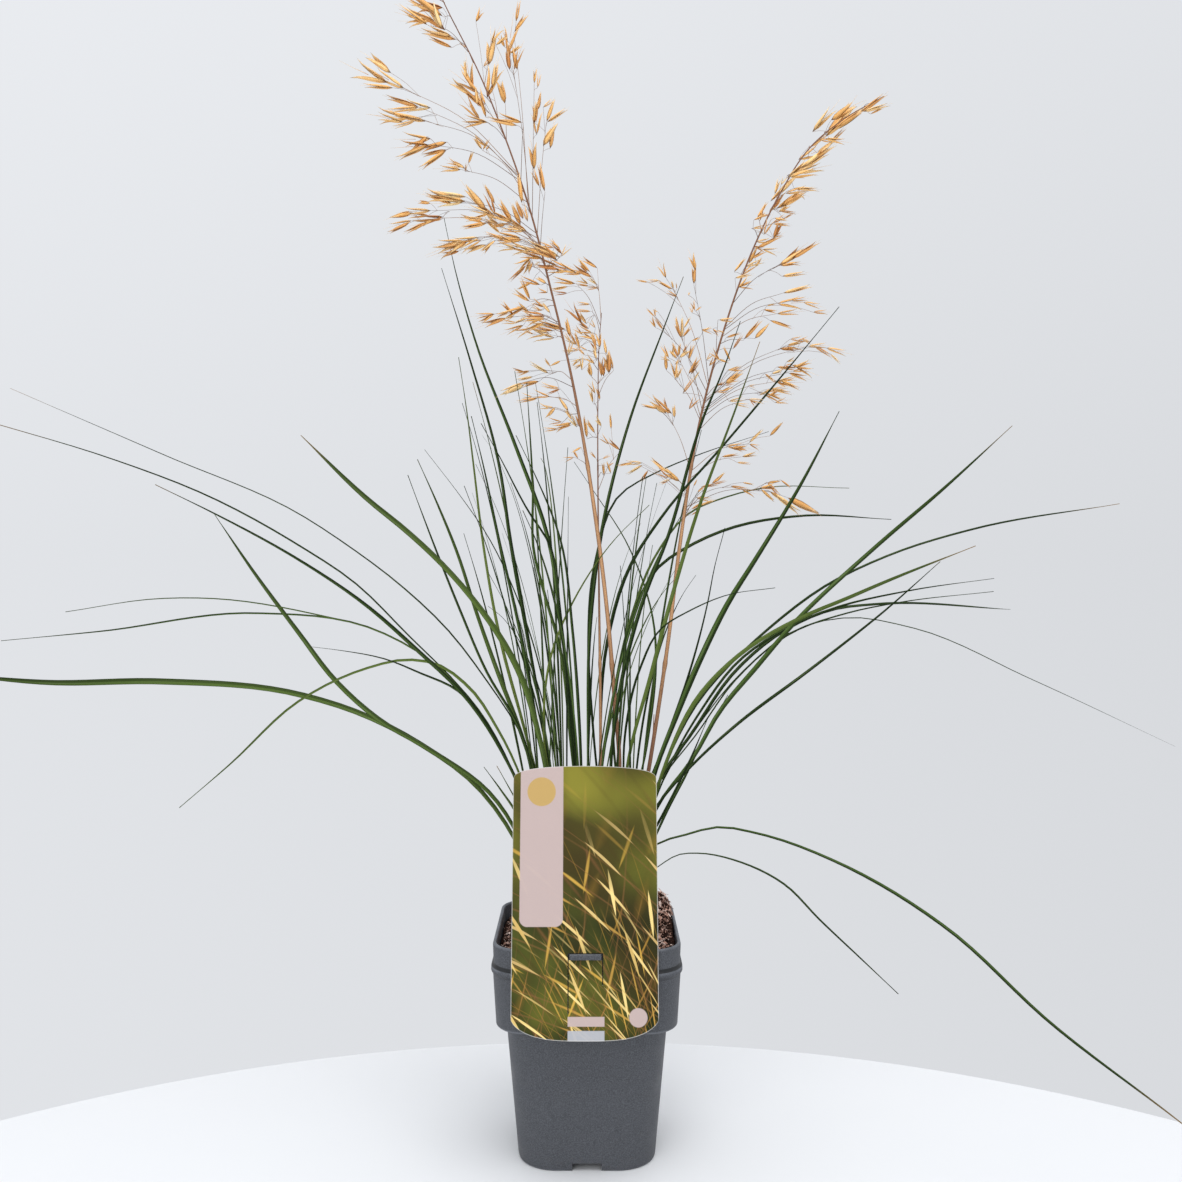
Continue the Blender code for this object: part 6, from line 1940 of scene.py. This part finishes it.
def dry_stub():
    """A broken flower stem: a thin red-brown strand that ends among the blades."""
    path = smooth_path(STUB_ROUTE, 24)
    share = np.linspace(0.0, 1.0, len(path))
    half = np.interp(share, (0.0, 0.70, 1.0), (1.0, 0.85, 0.30)) * STUB_HALF
    return strand(path, half, squared((0.0, 1.0, 0.05), along_path(path)), 0.05)


def sheath_strands(draw, number):
    """The shoot's core, and papery sheaths that wrap its foot and end in a free point."""
    x, y = (c * MM for c in SHOOT_PLACES[number])
    heights = np.linspace(SHOOT_FOOT_Z, SHOOT_TOP_Z + 0.006, 14)
    core = np.stack([np.full(14, x), np.full(14, y), heights], axis=1)
    share = np.linspace(0.0, 1.0, 14)
    half = SHOOT_RADIUS * (0.94 - 0.30 * share) * np.where(share > 0.9, 0.72, 1.0)
    facing = np.tile((1.0, 0.0, 0.0), (14, 1))
    cores = [strand(core, half, facing, 0.55)]
    wraps = []
    for wrap in range(4):
        turn = draw.uniform(0, 6.28) if wrap else draw.uniform(-0.5, 0.5)
        away = np.array((math.cos(turn), math.sin(turn), 0.0))
        tall = draw.uniform(0.035, 0.085)
        share = np.linspace(0.0, 1.0, 16)
        flare = SHOOT_RADIUS * (0.55 + 0.25 * share) + 0.006 * np.maximum(share - 0.6, 0.0) ** 1.5
        path = np.array((x, y, SHOOT_FOOT_Z)) + away * flare[:, None] + np.outer(share, (0.0, 0.0, tall))
        half = np.maximum(SHOOT_RADIUS * 0.95 * (1.0 - share ** 3.0), 0.0002)
        ahead = along_path(path)
        facing = squared(-away, ahead)
        wraps.append(strand(path, half, facing, draw.uniform(0.3, 1.0), draw.uniform(0.6, 2.0)))
    return cores, wraps


def make_shoot(number):
    draw = random.Random(SEED + 10 + number)
    name = f"grass_shoot_{number + 1:02d}"
    leaves = [
        leaf_strand(draw, blade, lone_looks.get(index))
        for index, blade in enumerate(blades) if blade["shoot"] == number
    ]
    cores, wraps = sheath_strands(draw, number)
    parts = [
        sweep(name + "_blades", leaves, LEAF_SIDES, LEAF_FOLD, LEAF_THICK, leaf_green),
        sweep(name + "_core", cores, 14, 0.0, 1.0, leaf_green),
        sweep(name + "_wraps", wraps, 12, 0.75, 0.08, leaf_green),
    ]
    if number == STUB_SHOOT:
        parts.append(sweep(name + "_stub", [dry_stub()], 10, 0.0, 1.0, ripe_straw))
    return join(name, parts)


for number in range(len(SHOOT_PLACES)):
    shoot = make_shoot(number)
    hand_over(shoot, "leaf_green", f"leaf_shoot_{number + 1:02d}")

# %% [markdown]
# ## Husks
#
# A ripe spikelet is a pair of papery husks that part in a V, with a slim husk of its own
# and a bristle, the awn, where the grain was. Each husk is a pointed boat. Three shapes are
# modelled once, nearly shut, part open and wide open, and a tree places a copy with its own
# turn, length and tone wherever a stalk ends.

# %% Husk shapes
HUSK_HALF = 0.086
HUSK_DEEP = 0.054
HUSK_THICK = 0.012
HUSK_SECTION = ((-1.0, 0), (0.0, 0), (1.0, 0), (0.0, 1))


def husk_points(length, half, deep, rings, open_angle, side, bend):
    """Points of one boat-shaped husk, with how far along and across each lies."""
    points, marks = [(0.0, 0.0, 0.0)], [(0.0, 0.0)]
    for ring in range(1, rings):
        share = ring / rings
        full = math.sin(math.pi * share ** 0.66) ** 0.95
        for u, inner in HUSK_SECTION:
            d = deep * full * (1 - u * u) - (HUSK_THICK if inner else 0.0)
            points.append((half * full * u, d, length * share))
            marks.append((share, u))
    points.append((0.0, deep * 0.3, length))
    marks.append((1.0, 0.0))
    turned = []
    for x, y, z in points:
        angle = open_angle * side + bend * side * (z / length) ** 2
        y = y * side
        cos, sin = math.cos(angle), math.sin(angle)
        turned.append((x, y * cos + z * sin, z * cos - y * sin))
    return turned, marks


def husk_faces(first, rings):
    """Faces between the tips and the rings."""
    count, faces = len(HUSK_SECTION), []
    for i in range(count):
        faces.append((first, first + 1 + i, first + 1 + (i + 1) % count))
    for ring in range(rings - 2):
        low = first + 1 + ring * count
        for i in range(count):
            j = (i + 1) % count
            faces.append((low + i, low + count + i, low + count + j, low + j))
    low = first + 1 + (rings - 2) * count
    for i in range(count):
        faces.append((low + i, low + count, low + (i + 1) % count))
    return faces


def awn_points(start, length, sway):
    """A three-sided bristle that bends to one side."""
    points, marks = [], []
    for share in (0.0, 0.5, 1.0):
        radius = 0.0065 * (1.0 - 0.75 * share)
        for side in range(3):
            turn = 2.1 * side
            points.append((radius * math.cos(turn) + sway * share ** 2, radius * math.sin(turn),
                           start + length * share))
            marks.append((0.55 + 0.35 * share, 0.0))
    return points, marks


def husk_shape(name, open_angle, bend, long, awn, sway):
    """A spikelet of unit length along +Z, with "along" and "across" on its points."""
    points, marks, faces = [], [], []
    for length, half, rings, angle, side in (
        (long, HUSK_HALF, 5, open_angle, 1), (long * 0.93, HUSK_HALF * 0.9, 5, open_angle, -1),
        (long * 0.6, HUSK_HALF * 0.45, 3, open_angle * 0.3, 1),
    ):
        faces += husk_faces(len(points), rings)
        more, more_marks = husk_points(length, half, HUSK_DEEP, rings, angle, side, bend)
        points, marks = points + more, marks + more_marks
    first = len(points)
    more, more_marks = awn_points(0.4, awn, sway)
    points, marks = points + more, marks + more_marks
    for ring in range(2):
        for i in range(3):
            low, j = first + ring * 3, (i + 1) % 3
            faces.append((low + i, low + j, low + 3 + j, low + 3 + i))
    faces += [(first + 2, first + 1, first), (first + 6, first + 7, first + 8)]
    made = new_object(name, points, faces, None)
    for label, values in zip(("along", "across"), zip(*marks)):
        store(made, label, values)
    face_outwards(made)
    made.data.shade_smooth()
    return made

# %% Tree that places husks
def make_husk_tree():
    group, given, result = new_group(
        "place_husks",
        [("Feet", GEOMETRY, None), ("Shapes", "NodeSocketCollection", None),
         ("Finish", "NodeSocketMaterial", None)],
        [("Husks", GEOMETRY)],
        "GeometryNodeTree",
    )
    points = add_node(group, "GeometryNodeMeshToPoints", {"Mesh": out(given, "Feet")})
    copies = copies_of(
        group, given, Points=out(points), Instance_Index=stored(group, "shape", "INT"),
        Rotation=rotation_of(stored(group, "turn", "FLOAT_VECTOR")), Scale=stored(group, "size"))
    return end_tree(group, given, result, copies)


place_husks = make_husk_tree()
print(place_husks.name, len(place_husks.nodes), "nodes")

# %% [markdown]
# ## Flower stems
#
# Each stem is a jointed straw that thins towards the top. From it leave hair-fine branches,
# each of which splits again into stalks with one spikelet each. The straw, the branches and
# the stalks are strands; the feet of the spikelets are points with a turn and a length.
# The solids hold one spikelet at each place. Here four in five get a second one near them,
# placed at random with no test for room, so that the spray looks full.

# %% Stalks and feet
CULM_POINTS = 220
JOINT_HEIGHTS = (0.265, 0.395, 0.560)
JOINT_SWELL = 0.32
JOINT_REACH = 0.0035
BRANCH_RADII = (0.00030, 0.00014)
STALK_RADIUS = 0.00013
STALK_LENGTH = 0.0010
HUSK_STRETCH = 1.24
SPARE_SHARE = 0.82
SPARE_AWAY = 0.0060


def culm_strand(number):
    """The main straw, with its joints, red-brown below and thin and dark at the top."""
    path = smooth_path(stem_route(number), CULM_POINTS)
    share = np.linspace(0.0, 1.0, len(path))
    half = np.interp(share, (0.0, 0.45, 0.60, 1.0), (1.0, 0.86, 0.52, 0.20)) * STEM_RADII[number]
    for height in JOINT_HEIGHTS:
        half = half * (1.0 + JOINT_SWELL * np.exp(-((path[:, 2] - height) / JOINT_REACH) ** 2))
    tint = np.interp(share, (0.0, 0.22, 0.36, 0.46, 0.57, 1.0), (0.06, 0.10, 0.46, 0.46, 0.10, 0.03))
    ahead = along_path(path)
    return strand(path, half, squared((0.0, 1.0, 0.05), ahead), tint)


def thread(path, radii, tint):
    """A branch or stalk as a strand."""
    ahead = along_path(path)
    return strand(path, np.linspace(*radii, len(path)), squared((0.0, 1.0, 0.05), ahead), tint)


def spare_spikelets(draw, spray):
    """For most spikelets, a second one near it at random and somewhat shorter."""
    made = []
    for spikelet in spray["spikelets"]:
        if draw.random() > SPARE_SHARE:
            continue
        away = np.array([draw.gauss(0.0, SPARE_AWAY) for _ in range(3)])
        ahead = (spikelet["tip"] - spikelet["foot"]) * draw.uniform(0.7, 0.9)
        side = np.array([draw.gauss(0.0, 0.22) for _ in range(3)]) * np.linalg.norm(ahead)
        foot = spikelet["foot"] + away
        made.append({
            "root": root_on(spray["path"], foot), "foot": foot, "tip": foot + ahead + side,
            "fork": draw.uniform(0.03, 0.12), "roll": draw.uniform(-1.5, 1.5),
        })
    return made


def stalk_to(spikelet, foot):
    """A stalk from the branch up to the foot of the spikelet."""
    root = spikelet["root"]
    middle = root + (foot - root) * 0.5 + np.array((0.0, 0.0, 0.06 * np.linalg.norm(foot - root)))
    return smooth_path([root, middle, foot], 4)


def turn_of(ahead, roll):
    """The turn that lays a husk's +Z along this way and rolls it."""
    z = Vector(ahead).normalized()
    x = z.cross(Vector((math.sin(roll), math.cos(roll), 0.1))).normalized()
    y = z.cross(x)
    return Matrix((y, -x, z)).transposed().to_euler()


def make_flower_stem(number):
    draw = random.Random(SEED + 50 + number)
    threads, feet = [], []
    for spray in stems[number]["sprays"]:
        threads.append(thread(smooth_path(spray["route"], 12), BRANCH_RADII, draw.uniform(0.7, 1.0)))
        spikelets = spray["spikelets"] + spare_spikelets(draw, spray)
        for spikelet in spikelets:
            ahead = np.array(spikelet["tip"]) - np.array(spikelet["foot"])
            length = np.linalg.norm(ahead)
            ahead = ahead / length
            foot = np.array(spikelet["foot"]) + ahead * STALK_LENGTH
            radii = (STALK_RADIUS, STALK_RADIUS)
            threads.append(thread(stalk_to(spikelet, foot), radii, draw.uniform(0.7, 1.0)))
            feet.append({
                "place": foot,
                "turn": turn_of(ahead, spikelet["roll"]),
                "size": (length - STALK_LENGTH) * HUSK_STRETCH,
                "shape": min(int((spikelet["fork"] - 0.03) / 0.034), 2),
                "tint": held(draw.gauss(0.5, 0.22)),
            })
    name = f"flower_straw_{number + 1}"
    straw = join(name, [
        sweep(name + "_culm", [culm_strand(number)], 12, 0.0, 1.0, ripe_straw),
        sweep(name + "_threads", threads, 5, 0.0, 1.0, ripe_straw),
    ])
    return straw, feet


def make_husks(number, feet, shapes):
    husks = new_object(f"husks_{number + 1}", [foot["place"] for foot in feet], [], None)
    store(husks, "turn", np.array([foot["turn"] for foot in feet], float).ravel(), "FLOAT_VECTOR")
    for label, kind in (("size", "FLOAT"), ("tint", "FLOAT"), ("shape", "INT")):
        store(husks, label, [foot[label] for foot in feet], kind)
    return run_tree(husks, place_husks, Shapes=shapes, Finish=ripe_husk)

# %% Make the flower stems
husk_shapes = gather("husk_shapes", [
    husk_shape("husk_0", 0.03, 0.02, 0.92, 0.58, 0.03),
    husk_shape("husk_1", 0.07, 0.06, 0.80, 0.62, -0.05),
    husk_shape("husk_2", 0.14, 0.12, 0.78, 0.60, 0.08),
])
for number in range(len(STEM_PLACES)):
    straw, feet = make_flower_stem(number)
    hand_over(straw, "ripe_straw", f"flower_stem_{number + 1}")
    husks = make_husks(number, feet, husk_shapes)
    hand_over(husks, "ripe_straw")
clear_shapes(husk_shapes)

# %% [markdown]
# ## Floor and light
#
# A plain pale round table top with nothing else on it, and a plain pale world behind. The
# light is soft and comes from all round, with one broad lamp above and in front.

# %% Floor
FLOOR_RADIUS = 0.81
FLOOR_BACK = 0.215
FLOOR_DEPTH = 0.02
FLOOR_DIM = paint(0.79, 0.80, 0.815)
FLOOR_PALE = paint(0.83, 0.838, 0.85)


def floor_finish():
    made, tree, shader = new_finish("table_white", 0.6)
    mottle = noise_of(surface_place(tree), 3.0, 2.0)
    feed(shader, "Base Color", mix(mottle, FLOOR_DIM, FLOOR_PALE))
    return made


bpy.ops.mesh.primitive_cylinder_add(
    vertices=256, radius=FLOOR_RADIUS, depth=FLOOR_DEPTH,
    location=(0.0, FLOOR_BACK - FLOOR_RADIUS, -FLOOR_DEPTH / 2))
table_top = bpy.context.object
table_top.name = "table_top"
table_top.data.materials.append(floor_finish())
edge_round = table_top.modifiers.new("edge", "BEVEL")
edge_round.width = 0.003
edge_round.segments = 3
edge_round.limit_method = "ANGLE"
print(table_top.name, "radius", FLOOR_RADIUS)

# %% Light
LAMPS = (("lamp_above", (0.3, -0.9, 2.4), 1.6, 26.0), ("lamp_front", (-0.9, -2.2, 1.1), 1.4, 14.0))
LAMP_AIM = (0.0, 0.0, 0.4)


def soft_lamp(name, place, size, watts):
    """A square lamp that looks at the middle of the plant."""
    data = bpy.data.lights.new(name, "AREA")
    data.size = size
    data.energy = watts
    lamp = bpy.data.objects.new(name, data)
    lamp.location = place
    aim = Vector(LAMP_AIM) - Vector(place)
    lamp.rotation_euler = aim.to_track_quat("-Z", "Y").to_euler()
    bpy.context.scene.collection.objects.link(lamp)
    return lamp


def pale_room():
    """A plain room, a little brighter up and to the left and dimmer to the right."""
    made = bpy.data.worlds.new("pale_room")
    made.use_nodes = True
    tree = made.node_tree
    way = add_node(tree, "ShaderNodeSeparateXYZ", {
        "Vector": out(add_node(tree, "ShaderNodeTexCoord"), "Generated")})
    across = spread(out(way, "X"), -0.42, 0.42, 1.012, 0.925)
    up = spread(out(way, "Z"), 0.0, 0.42, 1.0, 1.10)
    sky = tree.nodes["Background"]
    bright = times(across, up)
    tree.links.new(bright, sky.inputs["Strength"])
    sky.inputs["Color"].default_value = paint(0.745, 0.762, 0.792)
    return made


bpy.context.scene.world = pale_room()
bpy.context.scene.view_settings.view_transform = "Standard"
for name, place, size, watts in LAMPS:
    soft_lamp(name, place, size, watts)
print("world", bpy.context.scene.world.name)
